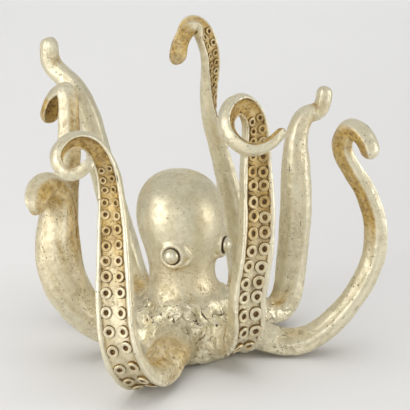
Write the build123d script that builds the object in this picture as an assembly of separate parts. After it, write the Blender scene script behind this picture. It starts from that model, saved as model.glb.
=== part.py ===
from build123d import *
import os
from dataclasses import dataclass
from math import cos, radians, sin, sqrt

# Octopus ornament: a cast body with eight pinned arms, set eyes, a pour plug and a felt base.
# Millimetres, +Z up, the viewer stands at -Y. The origin is the middle of the felt's underside.

# Reach of the figure, which the arm routes share in
HALF_WIDTH = 130.0
HALF_DEPTH = 100.0
ROUTE_HEIGHT = 230.0

# Arm section at the root, and the shares of it that make the sucker floor, rims, flanks and back ridge
ARM_WIDTH = 32.0
ARM_THICKNESS = 27.0
FLOOR_SHARE = 0.30
FLOOR_HALF_SHARE = 0.36
RIM_SHARE = 0.385
RIM_OUT_SHARE = 0.455
EDGE_SHARE = 0.10
FLANK_SHARE = 0.34
FLANK_OUT_SHARE = 0.37
RIDGE_SHARE = 0.56
THICKNESS_SHARES = (1.0, 0.95, 0.86, 0.8, 0.8, 0.84, 0.9, 0.96, 1.0)
ROUTE_STEPS = 240
SECTION_SPACING = 14.0
SECTION_TURN = 16.0
TIP_STEP_SHARES = (0.6, 0.3, 0.1, 0.0)
TIP_CAP_SHARE = 0.35

# Dowel joint between each stub and its arm
PIN_DIAMETER = 4.0
PIN_LENGTH = 24.0
PIN_CLEARANCE = 0.1

# Suckers, as shares of the arm's width where they stand
SUCKER_RADIUS_SHARE = 0.175
SUCKER_CREST_SHARE = 0.14
SUCKER_MOUTH_SHARE = 0.085
SUCKER_PIT_SHARE = 0.05
SUCKER_ROW_SHARE = 0.205
SUCKER_PITCH_SHARE = 0.44
SUCKER_HEIGHT_SHARE = 0.075
SUCKER_ROOT_SHARE = 0.06

# Body: hub, neck and mantle, with a web between the arm stubs whose edge bows by its own share
BODY_HEIGHT = 128.0
MANTLE_RADIUS = 31.5
LEAN_LEFT = 12.0
LEAN_BACK = 13.0
STUB_SECTIONS = 4
WEB_LIFT = 3.0
WEB_HEIGHT = 30.0
WEB_REACH_SHARE = 0.86
WEB_TOP_SHARE = 0.72
WEB_EDGE_SHARES = (0.82, 0.86, 0.9, 0.86, 0.84, 0.86, 0.9, 1.08)

# Eyes
EYE_HEIGHT = 77.0
EYE_REACH = 29.0
EYE_DIAMETER = 12.0
EYE_DOME = 4.4
EYE_GIRDLE = 2.5
EYE_CLEARANCE = 0.1
LID_DIAMETER = 15.5
LID_THICKNESS = 3.4
MOUND_RADIUS = 14.0
EYE_ANGLES = {"left": -19.0, "right": 88.0}

# Pour plug and felt
PLUG_DIAMETER = 16.0
PLUG_DEPTH = 12.0
PLUG_CLEARANCE = 0.1
FELT_DIAMETER = 58.0
FELT_THICKNESS = 1.5

# Sections of the body from base to crown: height, half width, half depth, lean left and lean back
BODY_SHARES = (
    (0.0, 1.0, 1.0, 0.0, 0.0),
    (0.13, 0.98, 0.98, 0.1, 0.0),
    (0.27, 0.89, 0.86, 0.42, 0.05),
    (0.41, 0.76, 0.76, 0.75, 0.23),
    (0.52, 0.79, 0.79, 0.83, 0.4),
    (0.645, 0.94, 0.92, 0.85, 0.55),
    (0.77, 1.0, 0.985, 0.9, 0.7),
    (0.875, 0.9, 0.9, 0.93, 0.85),
    (0.945, 0.68, 0.68, 0.97, 0.95),
    (0.985, 0.38, 0.38, 1.0, 1.0),
    (1.0, 0.1, 0.1, 1.0, 1.0),
)


@dataclass(frozen=True)
class ArmPlan:
    """An arm's route from the hub outwards, its width, thickness and turn, and the end of its suckers."""

    name: str
    route_shares: tuple
    width_shares: tuple
    thickness_share: float
    turn_degrees: tuple
    sucker_end_share: float


ARMS = (
    ArmPlan(
        "front_left",
        (
            (-0.04, -0.18, 0.09),
            (-0.145, -0.50, 0.072),
            (-0.255, -0.86, 0.062),
            (-0.34, -1.0, 0.144),
            (-0.386, -0.955, 0.30),
            (-0.392, -0.85, 0.435),
            (-0.404, -0.755, 0.585),
            (-0.438, -0.74, 0.69),
            (-0.525, -0.80, 0.76),
            (-0.625, -0.90, 0.76),
            (-0.655, -0.97, 0.723),
            (-0.592, -1.01, 0.687),
            (-0.48, -1.0, 0.725),
        ),
        (0.98, 0.94, 0.89, 0.84, 0.79, 0.73, 0.55, 0.42, 0.37, 0.34, 0.25),
        1.0,
        (0.0, 10.0, 22.0, 22.0, 15.0, 5.0, 0.0),
        0.75,
    ),
    ArmPlan(
        "left",
        (
            (-0.14, -0.05, 0.09),
            (-0.345, -0.10, 0.075),
            (-0.50, -0.16, 0.098),
            (-0.635, -0.22, 0.185),
            (-0.705, -0.25, 0.312),
            (-0.715, -0.24, 0.435),
            (-0.718, -0.22, 0.518),
            (-0.77, -0.30, 0.557),
            (-0.818, -0.40, 0.545),
            (-0.808, -0.48, 0.50),
        ),
        (0.92, 0.88, 0.82, 0.8, 0.88, 1.0, 0.95, 0.75, 0.52, 0.46, 0.44),
        1.0,
        (0.0, -6.0, -20.0, -50.0, -75.0, -75.0, -75.0),
        0.72,
    ),
    ArmPlan(
        "back_left",
        (
            (-0.125, 0.09, 0.09),
            (-0.325, 0.22, 0.074),
            (-0.60, 0.42, 0.065),
            (-0.728, 0.50, 0.20),
            (-0.745, 0.54, 0.35),
            (-0.72, 0.54, 0.52),
            (-0.707, 0.56, 0.68),
            (-0.735, 0.62, 0.764),
            (-0.80, 0.68, 0.735),
            (-0.85, 0.66, 0.655),
        ),
        (0.74, 0.72, 0.74, 0.78, 0.82, 0.8, 0.75, 0.68, 0.55, 0.48, 0.46),
        1.0,
        (0.0, 0.0),
        0.80,
    ),
    ArmPlan(
        "back_left_tall",
        (
            (-0.07, 0.16, 0.09),
            (-0.185, 0.43, 0.074),
            (-0.315, 0.70, 0.072),
            (-0.42, 0.82, 0.224),
            (-0.505, 0.86, 0.395),
            (-0.575, 0.86, 0.567),
            (-0.65, 0.88, 0.707),
            (-0.742, 0.92, 0.777),
            (-0.826, 0.96, 0.822),
            (-0.834, 0.95, 0.912),
        ),
        (0.72, 0.7, 0.72, 0.74, 0.73, 0.7, 0.66, 0.58, 0.48, 0.42, 0.38),
        1.0,
        (0.0, 0.0),
        0.78,
    ),
    ArmPlan(
        "back",
        (
            (0.03, 0.18, 0.09),
            (0.092, 0.46, 0.074),
            (0.255, 0.74, 0.068),
            (0.24, 0.82, 0.224),
            (0.19, 0.82, 0.40),
            (0.13, 0.78, 0.56),
            (0.08, 0.72, 0.70),
            (0.078, 0.66, 0.82),
            (0.062, 0.60, 0.915),
            (-0.012, 0.55, 0.98),
            (-0.072, 0.50, 0.95),
            (-0.098, 0.48, 0.86),
        ),
        (0.8, 0.78, 0.78, 0.75, 0.7, 0.64, 0.57, 0.52, 0.47, 0.42, 0.38),
        1.0,
        (0.0, 0.0, 0.0, -5.0, -35.0, -62.0, -68.0, -70.0),
        0.86,
    ),
    ArmPlan(
        "back_right",
        (
            (0.125, 0.11, 0.09),
            (0.30, 0.29, 0.074),
            (0.47, 0.42, 0.06),
            (0.545, 0.48, 0.205),
            (0.567, 0.46, 0.38),
            (0.56, 0.46, 0.545),
            (0.58, 0.48, 0.668),
            (0.648, 0.52, 0.716),
            (0.70, 0.54, 0.735),
            (0.718, 0.54, 0.785),
        ),
        (0.8, 0.77, 0.75, 0.74, 0.73, 0.72, 0.68, 0.6, 0.47, 0.42, 0.38),
        1.0,
        (0.0, 0.0),
        0.86,
    ),
    ArmPlan(
        "right",
        (
            (0.14, -0.05, 0.09),
            (0.355, -0.11, 0.06),
            (0.54, -0.125, 0.042),
            (0.70, -0.12, 0.082),
            (0.87, -0.11, 0.196),
            (0.963, -0.10, 0.325),
            (0.947, -0.09, 0.47),
            (0.825, -0.11, 0.603),
            (0.772, -0.13, 0.682),
            (0.812, -0.18, 0.725),
            (0.878, -0.25, 0.705),
            (0.915, -0.30, 0.645),
        ),
        (0.84, 0.79, 0.73, 0.69, 0.66, 0.66, 0.65, 0.6, 0.54, 0.47, 0.4),
        1.0,
        (0.0, 5.0, 10.0, 12.0, 15.0),
        0.72,
    ),
    ArmPlan(
        "front_right",
        (
            (0.085, -0.15, 0.098),
            (0.185, -0.345, 0.076),
            (0.243, -0.43, 0.115),
            (0.262, -0.465, 0.225),
            (0.298, -0.45, 0.36),
            (0.313, -0.38, 0.51),
            (0.307, -0.32, 0.667),
            (0.285, -0.33, 0.787),
            (0.22, -0.42, 0.825),
            (0.16, -0.52, 0.79),
            (0.198, -0.59, 0.738),
            (0.288, -0.61, 0.712),
            (0.378, -0.58, 0.726),
            (0.455, -0.53, 0.762),
        ),
        (0.84, 0.82, 0.8, 0.78, 0.76, 0.72, 0.56, 0.42, 0.36, 0.3, 0.22),
        1.2,
        (0.0, -12.0, -26.0, -30.0, -30.0, -18.0, -10.0, -10.0),
        0.70,
    ),
)


def share_at(values, share):
    """Value at a share of the way along evenly spaced values."""
    place = min(max(share, 0.0), 1.0) * (len(values) - 1)
    low = min(int(place), len(values) - 2)
    return values[low] + (values[low + 1] - values[low]) * (place - low)


def spline_bends(points, gaps):
    """Second derivatives of the natural cubic spline through points that lie these gaps apart."""
    last = len(points) - 1
    ratios = [0.0] * len(points)
    bends = [Vector(0, 0, 0)] * len(points)
    for i in range(1, last):
        ahead = (points[i + 1] - points[i]) * (6 / gaps[i])
        behind = (points[i] - points[i - 1]) * (6 / gaps[i - 1])
        pivot = 2 * (gaps[i - 1] + gaps[i]) - gaps[i - 1] * ratios[i - 1]
        ratios[i] = gaps[i] / pivot
        bends[i] = (ahead - behind - bends[i - 1] * gaps[i - 1]) * (1 / pivot)
    for i in range(last - 1, 0, -1):
        bends[i] = bends[i] - bends[i + 1] * ratios[i]
    return bends


class ArmRoute:
    """The arm's middle line, with the sucker side carried along it without twist and then turned."""

    def __init__(self, plan):
        self.plan = plan
        self.points = [
            Vector(across * HALF_WIDTH, deep * HALF_DEPTH, high * ROUTE_HEIGHT)
            for across, deep, high in plan.route_shares
        ]
        self.gaps = [(b - a).length for a, b in zip(self.points, self.points[1:])]
        self.bends = spline_bends(self.points, self.gaps)
        self.length = sum(self.gaps)
        self.joint_share = self.gaps[0] / self.length
        self.carried = []
        oral = Vector(0, 0, -1)
        for step in range(ROUTE_STEPS + 1):
            tangent = self.middle(step / ROUTE_STEPS)[1]
            oral = (oral - tangent * oral.dot(tangent)).normalized()
            self.carried.append(oral)

    def middle(self, share):
        """Point and direction of the middle line at a share of its length."""
        rest = share * self.length
        low = 0
        while low < len(self.gaps) - 1 and rest > self.gaps[low]:
            rest -= self.gaps[low]
            low += 1
        gap = self.gaps[low]
        ahead = gap - rest
        start, end = self.points[low], self.points[low + 1]
        bend, next_bend = self.bends[low], self.bends[low + 1]
        point = (bend * ahead**3 + next_bend * rest**3) * (1 / (6 * gap))
        point += (start * (1 / gap) - bend * (gap / 6)) * ahead
        point += (end * (1 / gap) - next_bend * (gap / 6)) * rest
        slope = (next_bend * rest**2 - bend * ahead**2) * (1 / (2 * gap))
        slope += (end - start) * (1 / gap) + (bend - next_bend) * (gap / 6)
        return point, slope.normalized()

    def width(self, share):
        """Arm width at a share of the route."""
        return ARM_WIDTH * share_at(self.plan.width_shares, share)

    def thickness(self, share):
        """Arm thickness at a share of the route, flatter along the middle than at the ends."""
        flatness = share_at(self.plan.width_shares, share) * share_at(THICKNESS_SHARES, share)
        return ARM_THICKNESS * self.plan.thickness_share * flatness

    def plane(self, share):
        """Section plane, with x across the arm, y towards its suckers and z along it."""
        point, tangent = self.middle(share)
        low = min(int(share * ROUTE_STEPS), ROUTE_STEPS - 1)
        part = share * ROUTE_STEPS - low
        oral = self.carried[low] * (1 - part) + self.carried[low + 1] * part
        oral = (oral - tangent * oral.dot(tangent)).normalized()
        turn = radians(share_at(self.plan.turn_degrees, share))
        oral = oral * cos(turn) + tangent.cross(oral) * sin(turn)
        return Plane(point, x_dir=oral.cross(tangent), z_dir=tangent)

    def section(self, share, scale=1.0):
        """Closed section: sucker floor between two rims, flanks and a soft ridge along the back."""
        width = self.width(share) * scale
        thick = self.thickness(share) * scale
        ridge = (0, -RIDGE_SHARE * thick)
        inners = [(side * FLOOR_HALF_SHARE * width, FLOOR_SHARE * thick) for side in (-1, 1)]
        edges = [Line(*inners)]
        for side, inner in zip((-1, 1), inners):
            crest = (side * RIM_OUT_SHARE * width, RIM_SHARE * thick)
            edge = (side * width / 2, EDGE_SHARE * thick)
            flank = (side * FLANK_OUT_SHARE * width, -FLANK_SHARE * thick)
            edges += [ThreePointArc(inner, crest, edge), ThreePointArc(edge, flank, ridge)]
        return self.plane(share) * make_face(Curve() + edges)


def arm_stations(route, last):
    """Shares for the arm's sections from its joint on, closer together where the route bends."""
    first = route.joint_share
    shares = [first + (last - first) * i / ROUTE_STEPS for i in range(ROUTE_STEPS + 1)]
    middles = [route.middle(share) for share in shares]
    marks = [0.0]
    for (here, along), (there, next_along) in zip(middles, middles[1:]):
        stretch = (there - here).length / SECTION_SPACING
        turn = along.get_angle(next_along) / SECTION_TURN
        marks.append(marks[-1] + stretch + turn)
    count = round(marks[-1])
    stations = []
    for i in range(count + 1):
        low = max(k for k in range(ROUTE_STEPS + 1) if marks[k] <= marks[-1] * i / count)
        stations.append(shares[low])
    return stations


def arm_loft(route):
    """The arm from its joint face to its blunt rounded tip."""
    tip_share = route.width(1.0) / 2 / route.length
    sections = [route.section(share) for share in arm_stations(route, 1.0 - tip_share)]
    for step in TIP_STEP_SHARES:
        scale = max(sqrt(1 - (1 - step) ** 2), TIP_CAP_SHARE)
        sections.append(route.section(1.0 - tip_share * step, scale))
    return loft(sections, ruled=True)


def sucker(width):
    """A raised ring with a sunken mouth, standing on the floor of an arm of this width."""
    height = SUCKER_HEIGHT_SHARE * width
    profile = Polyline(
        (0, -SUCKER_ROOT_SHARE * width),
        (SUCKER_RADIUS_SHARE * width, -SUCKER_ROOT_SHARE * width),
        (SUCKER_CREST_SHARE * width, height),
        (SUCKER_MOUTH_SHARE * width, height),
        (SUCKER_PIT_SHARE * width, 0),
        (0, 0),
        close=True,
    )
    return revolve(Plane.XZ * make_face(profile), Axis.Z)


def arm_suckers(route):
    """Two rows of suckers that shrink with the arm, from the joint to where they end."""
    rings = []
    share = route.joint_share + SUCKER_PITCH_SHARE * route.width(route.joint_share) / route.length
    while share < route.plan.sucker_end_share:
        width = route.width(share)
        floor = FLOOR_SHARE * route.thickness(share)
        plane = route.plane(share)
        for side in (-1, 1):
            seat = plane.from_local_coords((side * SUCKER_ROW_SHARE * width, floor))
            rings.append(Plane(seat, x_dir=plane.x_dir, z_dir=plane.y_dir) * sucker(width))
        share += SUCKER_PITCH_SHARE * width / route.length
    return rings


def pin_hole(route):
    """The dowel's hole across the joint."""
    place = route.plane(route.joint_share)
    return place * Cylinder(PIN_DIAMETER / 2 + PIN_CLEARANCE, PIN_LENGTH + 2 * PIN_CLEARANCE)


def build_arm(route):
    """One arm casting with its suckers and its half of the dowel hole."""
    return arm_loft(route) + arm_suckers(route) - pin_hole(route)


def build_pin(route):
    """The dowel across the joint."""
    return route.plane(route.joint_share) * Cylinder(PIN_DIAMETER / 2, PIN_LENGTH)


def build_stub(route):
    """The short stub on the body that carries one arm."""
    shares = [route.joint_share * i / (STUB_SECTIONS - 1) for i in range(STUB_SECTIONS)]
    return loft([route.section(share) for share in shares])


def web_outline(routes, scale):
    """Outline of the web round the hub, bowed between the stubs."""
    corners = []
    for route in routes:
        corner = route.middle(route.joint_share * WEB_REACH_SHARE)[0]
        corners.append(Vector(corner.X, corner.Y) * scale)
    edges = []
    for here, there, bow in zip(corners, corners[1:] + corners[:1], WEB_EDGE_SHARES):
        edges.append(ThreePointArc(here, (here + there) * (bow / 2), there))
    return make_face(Curve() + edges)


def build_web(routes):
    """The skin that spreads from the neck to the stubs, clear of the table."""
    edge = Plane((0, 0, WEB_LIFT)) * web_outline(routes, 1.0)
    top = Plane((0, 0, WEB_HEIGHT)) * web_outline(routes, WEB_TOP_SHARE)
    return loft([edge, top], ruled=True)


def standing(radius, height):
    """A cylinder that stands on its plane."""
    return Cylinder(radius, height, align=(Align.CENTER, Align.CENTER, Align.MIN))


def eye_plane(angle):
    """Plane of an eye's socket floor, facing out of the head; the angle turns from the viewer to +X."""
    turn = radians(angle)
    rise = (EYE_HEIGHT - FELT_THICKNESS) / BODY_HEIGHT
    outwards = Vector(sin(turn), -cos(turn), 0)
    middle = Vector(-LEAN_LEFT * rise, LEAN_BACK * rise / 2, EYE_HEIGHT)
    return Plane(middle + outwards * (EYE_REACH - EYE_GIRDLE), x_dir=(0, 0, 1), z_dir=outwards)


def build_eye(angle):
    """A cabochon: a flat girdle with a domed front."""
    radius = EYE_DIAMETER / 2
    bulge = (radius**2 + EYE_DOME**2) / (2 * EYE_DOME)
    top = EYE_GIRDLE + EYE_DOME
    edges = [
        Line((0, 0), (radius, 0)),
        Line((radius, 0), (radius, EYE_GIRDLE)),
        RadiusArc((radius, EYE_GIRDLE), (0, top), -bulge),
        Line((0, top), (0, 0)),
    ]
    return eye_plane(angle) * revolve(Plane.XZ * make_face(Curve() + edges), Axis.Z)


def build_body(routes):
    """Hub, neck and mantle with the web, stubs, eye mounds and lid rings, less the sockets and holes."""
    rings = []
    for height, width, depth, left, back in BODY_SHARES:
        middle = (-LEAN_LEFT * left, LEAN_BACK * back, FELT_THICKNESS + BODY_HEIGHT * height)
        rings.append(Plane(middle) * Ellipse(MANTLE_RADIUS * width, MANTLE_RADIUS * depth))
    body = loft(rings)
    cuts = [pin_hole(route) for route in routes]
    adds = [build_web(routes)] + [build_stub(route) for route in routes]
    for angle in EYE_ANGLES.values():
        plane = eye_plane(angle)
        adds.append(plane.offset(EYE_GIRDLE - MOUND_RADIUS) * Sphere(MOUND_RADIUS))
        lid_drop = MOUND_RADIUS - sqrt(MOUND_RADIUS**2 - (LID_DIAMETER / 2) ** 2)
        adds.append(plane.offset(EYE_GIRDLE - lid_drop) * Torus(LID_DIAMETER / 2, LID_THICKNESS / 2))
        cuts.append(plane * standing(EYE_DIAMETER / 2 + EYE_CLEARANCE, MOUND_RADIUS))
    cuts.append(Plane((0, 0, FELT_THICKNESS)) * standing(PLUG_DIAMETER / 2 + PLUG_CLEARANCE, PLUG_DEPTH))
    return body + adds - cuts


def build_plug():
    """The plug in the pour hole, flush with the underside."""
    return Plane((0, 0, FELT_THICKNESS)) * standing(PLUG_DIAMETER / 2, PLUG_DEPTH)


def build_felt():
    """The round felt that the figure stands on."""
    return standing(FELT_DIAMETER / 2, FELT_THICKNESS)


def build_all():
    """Every node by name."""
    routes = [ArmRoute(plan) for plan in ARMS]
    nodes = {"body": build_body(routes), "pour_plug": build_plug(), "felt_base": build_felt()}
    for side, angle in EYE_ANGLES.items():
        nodes[f"eye_{side}"] = build_eye(angle)
    for route in routes:
        nodes[f"arm_{route.plan.name}"] = build_arm(route)
        nodes[f"pin_{route.plan.name}"] = build_pin(route)
    return nodes


os.makedirs("parts", exist_ok=True)
for node, solid in build_all().items():
    solid.label = node
    export_step(solid, f"parts/{node}.step")
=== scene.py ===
import logging
import math
from dataclasses import dataclass, field
from enum import Enum
from typing import Any, Union

import bpy
import numpy as np
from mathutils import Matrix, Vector, noise


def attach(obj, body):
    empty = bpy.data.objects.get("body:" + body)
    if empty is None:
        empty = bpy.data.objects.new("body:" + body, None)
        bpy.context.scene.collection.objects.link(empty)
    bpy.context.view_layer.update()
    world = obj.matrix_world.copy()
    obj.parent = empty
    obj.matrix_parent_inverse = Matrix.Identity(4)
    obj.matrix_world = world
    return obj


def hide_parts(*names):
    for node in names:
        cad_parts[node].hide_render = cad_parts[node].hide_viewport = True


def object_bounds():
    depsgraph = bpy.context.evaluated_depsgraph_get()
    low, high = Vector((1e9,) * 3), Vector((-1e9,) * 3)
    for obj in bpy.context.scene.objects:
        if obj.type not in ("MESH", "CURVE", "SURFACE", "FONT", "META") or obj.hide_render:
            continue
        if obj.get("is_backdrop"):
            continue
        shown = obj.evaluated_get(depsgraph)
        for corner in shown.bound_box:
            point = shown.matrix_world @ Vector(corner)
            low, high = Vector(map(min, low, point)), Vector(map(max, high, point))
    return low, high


LOG = logging.getLogger("octopus")

MM = 0.001
REACH = np.array((130.0, 100.0, 230.0)) * MM
ARM_WIDTH = 32.0 * MM
ARM_THICKNESS = 27.0 * MM
THICKNESS_SHARES = (1.0, 0.95, 0.86, 0.8, 0.8, 0.84, 0.9, 0.96, 1.0)

# Half of the arm's section from the middle of the sucker floor to the ridge of the back:
# shares of the width across and of the thickness towards the suckers
HALF_SECTION_SHARES = (
    (0.0, 0.25),
    (0.1, 0.256),
    (0.2, 0.275),
    (0.315, 0.302),
    (0.345, 0.34),
    (0.375, 0.376),
    (0.42, 0.386),
    (0.465, 0.374),
    (0.493, 0.315),
    (0.5, 0.2),
    (0.5, 0.07),
    (0.478, -0.08),
    (0.39, -0.25),
    (0.25, -0.4),
    (0.11, -0.51),
    (0.0, -0.555),
)

Number = Union[int, float]


class Slot(Enum):
    """Names for material slots."""

    RESIN = "leaf_resin"
    EYE = "leaf_eye"
    STEEL = "dowel_steel"
    PLUG = "bare_resin"
    FELT = "felt"


class Side(Enum):
    """The two eyes, with the turn of each from the viewer towards +X in degrees."""

    LEFT = -19.0
    RIGHT = 88.0


class Signal:
    """A value in a node tree that takes part in Python arithmetic."""

    def __init__(self, graph: "Graph", socket: bpy.types.NodeSocket) -> None:
        """Wraps one output socket."""
        self.graph = graph
        self.socket = socket

    def _math(self, operation: str, *values: Any) -> "Signal":
        """Adds one Math node on these values."""
        node = self.graph.node("ShaderNodeMath", {"operation": operation}, dict(enumerate(values)))
        return Signal(self.graph, node.outputs[0])

    def __add__(self, other: Any) -> "Signal":
        """Sum."""
        return self._math("ADD", self, other)

    __radd__ = __add__

    def __sub__(self, other: Any) -> "Signal":
        """Difference."""
        return self._math("SUBTRACT", self, other)

    def __rsub__(self, other: Any) -> "Signal":
        """Difference from a number."""
        return self._math("SUBTRACT", other, self)

    def __mul__(self, other: Any) -> "Signal":
        """Product."""
        return self._math("MULTIPLY", self, other)

    __rmul__ = __mul__

    def __truediv__(self, other: Any) -> "Signal":
        """Quotient."""
        return self._math("DIVIDE", self, other)

    def __pow__(self, other: Any) -> "Signal":
        """Power."""
        return self._math("POWER", self, other)

    def most(self, other: Any) -> "Signal":
        """The larger of two values."""
        return self._math("MAXIMUM", self, other)

    def ramp(self, low: float, high: float) -> "Signal":
        """A smooth step from 0 at low to 1 at high.

        Args:
            low: Value that gives 0.
            high: Value that gives 1.

        Returns:
            The step, kept between 0 and 1.
        """
        node = self.graph.node(
            "ShaderNodeMapRange",
            {"interpolation_type": "SMOOTHSTEP"},
            {"Value": self, "From Min": low, "From Max": high},
        )
        return Signal(self.graph, node.outputs["Result"])


class Graph:
    """A node tree under construction."""

    def __init__(self, tree: bpy.types.NodeTree) -> None:
        """Starts from an empty tree."""
        self.tree = tree
        tree.nodes.clear()

    def node(self, kind: str, settings: dict[str, Any] | None = None, sockets: dict[Any, Any] | None = None) -> bpy.types.Node:
        """Adds any node.

        Args:
            kind: The node's type name.
            settings: Properties that are set first; "stops" holds a colour ramp's stops.
            sockets: Values or links by the socket's identifier, name or number.

        Returns:
            The new node.
        """
        made = self.tree.nodes.new(kind)
        for name, value in (settings or {}).items():
            if name == "stops":
                self._stops(made.color_ramp, value)
            else:
                setattr(made, name, value)
        for key, value in (sockets or {}).items():
            self.feed(self._socket(made.inputs, key), value)
        return made

    @staticmethod
    def _stops(ramp: bpy.types.ColorRamp, stops: tuple) -> None:
        """Sets a ramp's stops from pairs of place and colour."""
        while len(ramp.elements) < len(stops):
            ramp.elements.new(1.0)
        for element, (place, colour) in zip(ramp.elements, stops):
            element.position = place
            element.color = (*colour, 1.0)

    @staticmethod
    def _socket(sockets: Any, key: Any) -> bpy.types.NodeSocket:
        """Finds a socket by its identifier, its name or its number."""
        if isinstance(key, int):
            return sockets[key]
        for socket in sockets:
            if socket.identifier == key:
                return socket
        return sockets[key]

    def feed(self, target: bpy.types.NodeSocket, value: Any) -> None:
        """Links or sets an input.

        Args:
            target: The input socket.
            value: A Signal, a socket or a plain value.
        """
        if isinstance(value, Signal):
            value = value.socket
        if isinstance(value, bpy.types.NodeSocket):
            self.tree.links.new(value, target)
        else:
            target.default_value = value

    def value(self, node: bpy.types.Node, output: Any = 0) -> Signal:
        """An output of a node as a value for arithmetic."""
        return Signal(self, self._socket(node.outputs, output))

    def blend(self, factor: Any, first: Any, second: Any) -> bpy.types.NodeSocket:
        """Mixes two colours.

        Args:
            factor: Share of the second colour.
            first: Colour or socket at 0.
            second: Colour or socket at 1.

        Returns:
            The mixed colour's socket.
        """
        sockets = {"Factor_Float": factor, "A_Color": first, "B_Color": second}
        node = self.node("ShaderNodeMix", {"data_type": "RGBA"}, sockets)
        return self._socket(node.outputs, "Result_Color")


def rgba(red: float, green: float, blue: float) -> tuple[float, float, float, float]:
    """An opaque colour."""
    return (red, green, blue, 1.0)


class Finish:
    """A procedural material that is made once."""

    label: str = "finish"

    def material(self) -> bpy.types.Material:
        """The material, made on first use.

        Returns:
            The Blender material of this finish.
        """
        made = bpy.data.materials.get(self.label)
        if made is None:
            made = bpy.data.materials.new(self.label)
            made.use_nodes = True
            graph = Graph(made.node_tree)
            shader = graph.node("ShaderNodeBsdfPrincipled")
            graph.node("ShaderNodeOutputMaterial", None, {"Surface": shader.outputs[0]})
            self.paint(graph, shader)
        return made

    def paint(self, graph: Graph, shader: bpy.types.Node) -> None:
        """Feeds the shader's sockets."""
        raise NotImplementedError

    @staticmethod
    def place(graph: Graph) -> bpy.types.NodeSocket:
        """Object coordinates."""
        return graph.node("ShaderNodeTexCoord").outputs["Object"]

    @staticmethod
    def clouds(graph: Graph, scale: float, detail: float = 2.0, roughness: float = 0.5, distortion: float = 0.0) -> Signal:
        """Soft noise from 0 to 1.

        Args:
            graph: The tree to add to.
            scale: Waves per metre.
            detail: Octaves.
            roughness: Share of each finer octave.
            distortion: How far the pattern is stirred.

        Returns:
            The noise value.
        """
        sockets = {
            "Vector": Finish.place(graph),
            "Scale": scale,
            "Detail": detail,
            "Roughness": roughness,
            "Distortion": distortion,
        }
        return graph.value(graph.node("ShaderNodeTexNoise", None, sockets), "Fac")

    @staticmethod
    def cells(graph: Graph, scale: float, feature: str = "F1", place: Any = None) -> Signal:
        """Distance to the nearest of scattered points, in shares of their spacing.

        Args:
            graph: The tree to add to.
            scale: Points per metre.
            feature: Which distance is measured.
            place: Coordinates, where they aren't the object's own.

        Returns:
            The distance value.
        """
        sockets = {"Vector": place or Finish.place(graph), "Scale": scale}
        return graph.value(graph.node("ShaderNodeTexVoronoi", {"feature": feature}, sockets), "Distance")

    @staticmethod
    def mask(graph: Graph, name: str) -> Signal:
        """A value that the mesh carries at each point."""
        return graph.value(graph.node("ShaderNodeAttribute", {"attribute_name": name}), "Fac")

    @staticmethod
    def bump(graph: Graph, shader: bpy.types.Node, height: Signal, distance: float, strength: float = 1.0) -> None:
        """Raises the surface by a height pattern.

        Args:
            graph: The tree to add to.
            shader: The shader whose normal is fed.
            height: Pattern from 0 to 1.
            distance: Height of the pattern in metres.
            strength: Share of the effect.
        """
        sockets = {"Height": height, "Distance": distance, "Strength": strength}
        graph.feed(shader.inputs["Normal"], graph.node("ShaderNodeBump", None, sockets).outputs[0])


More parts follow.
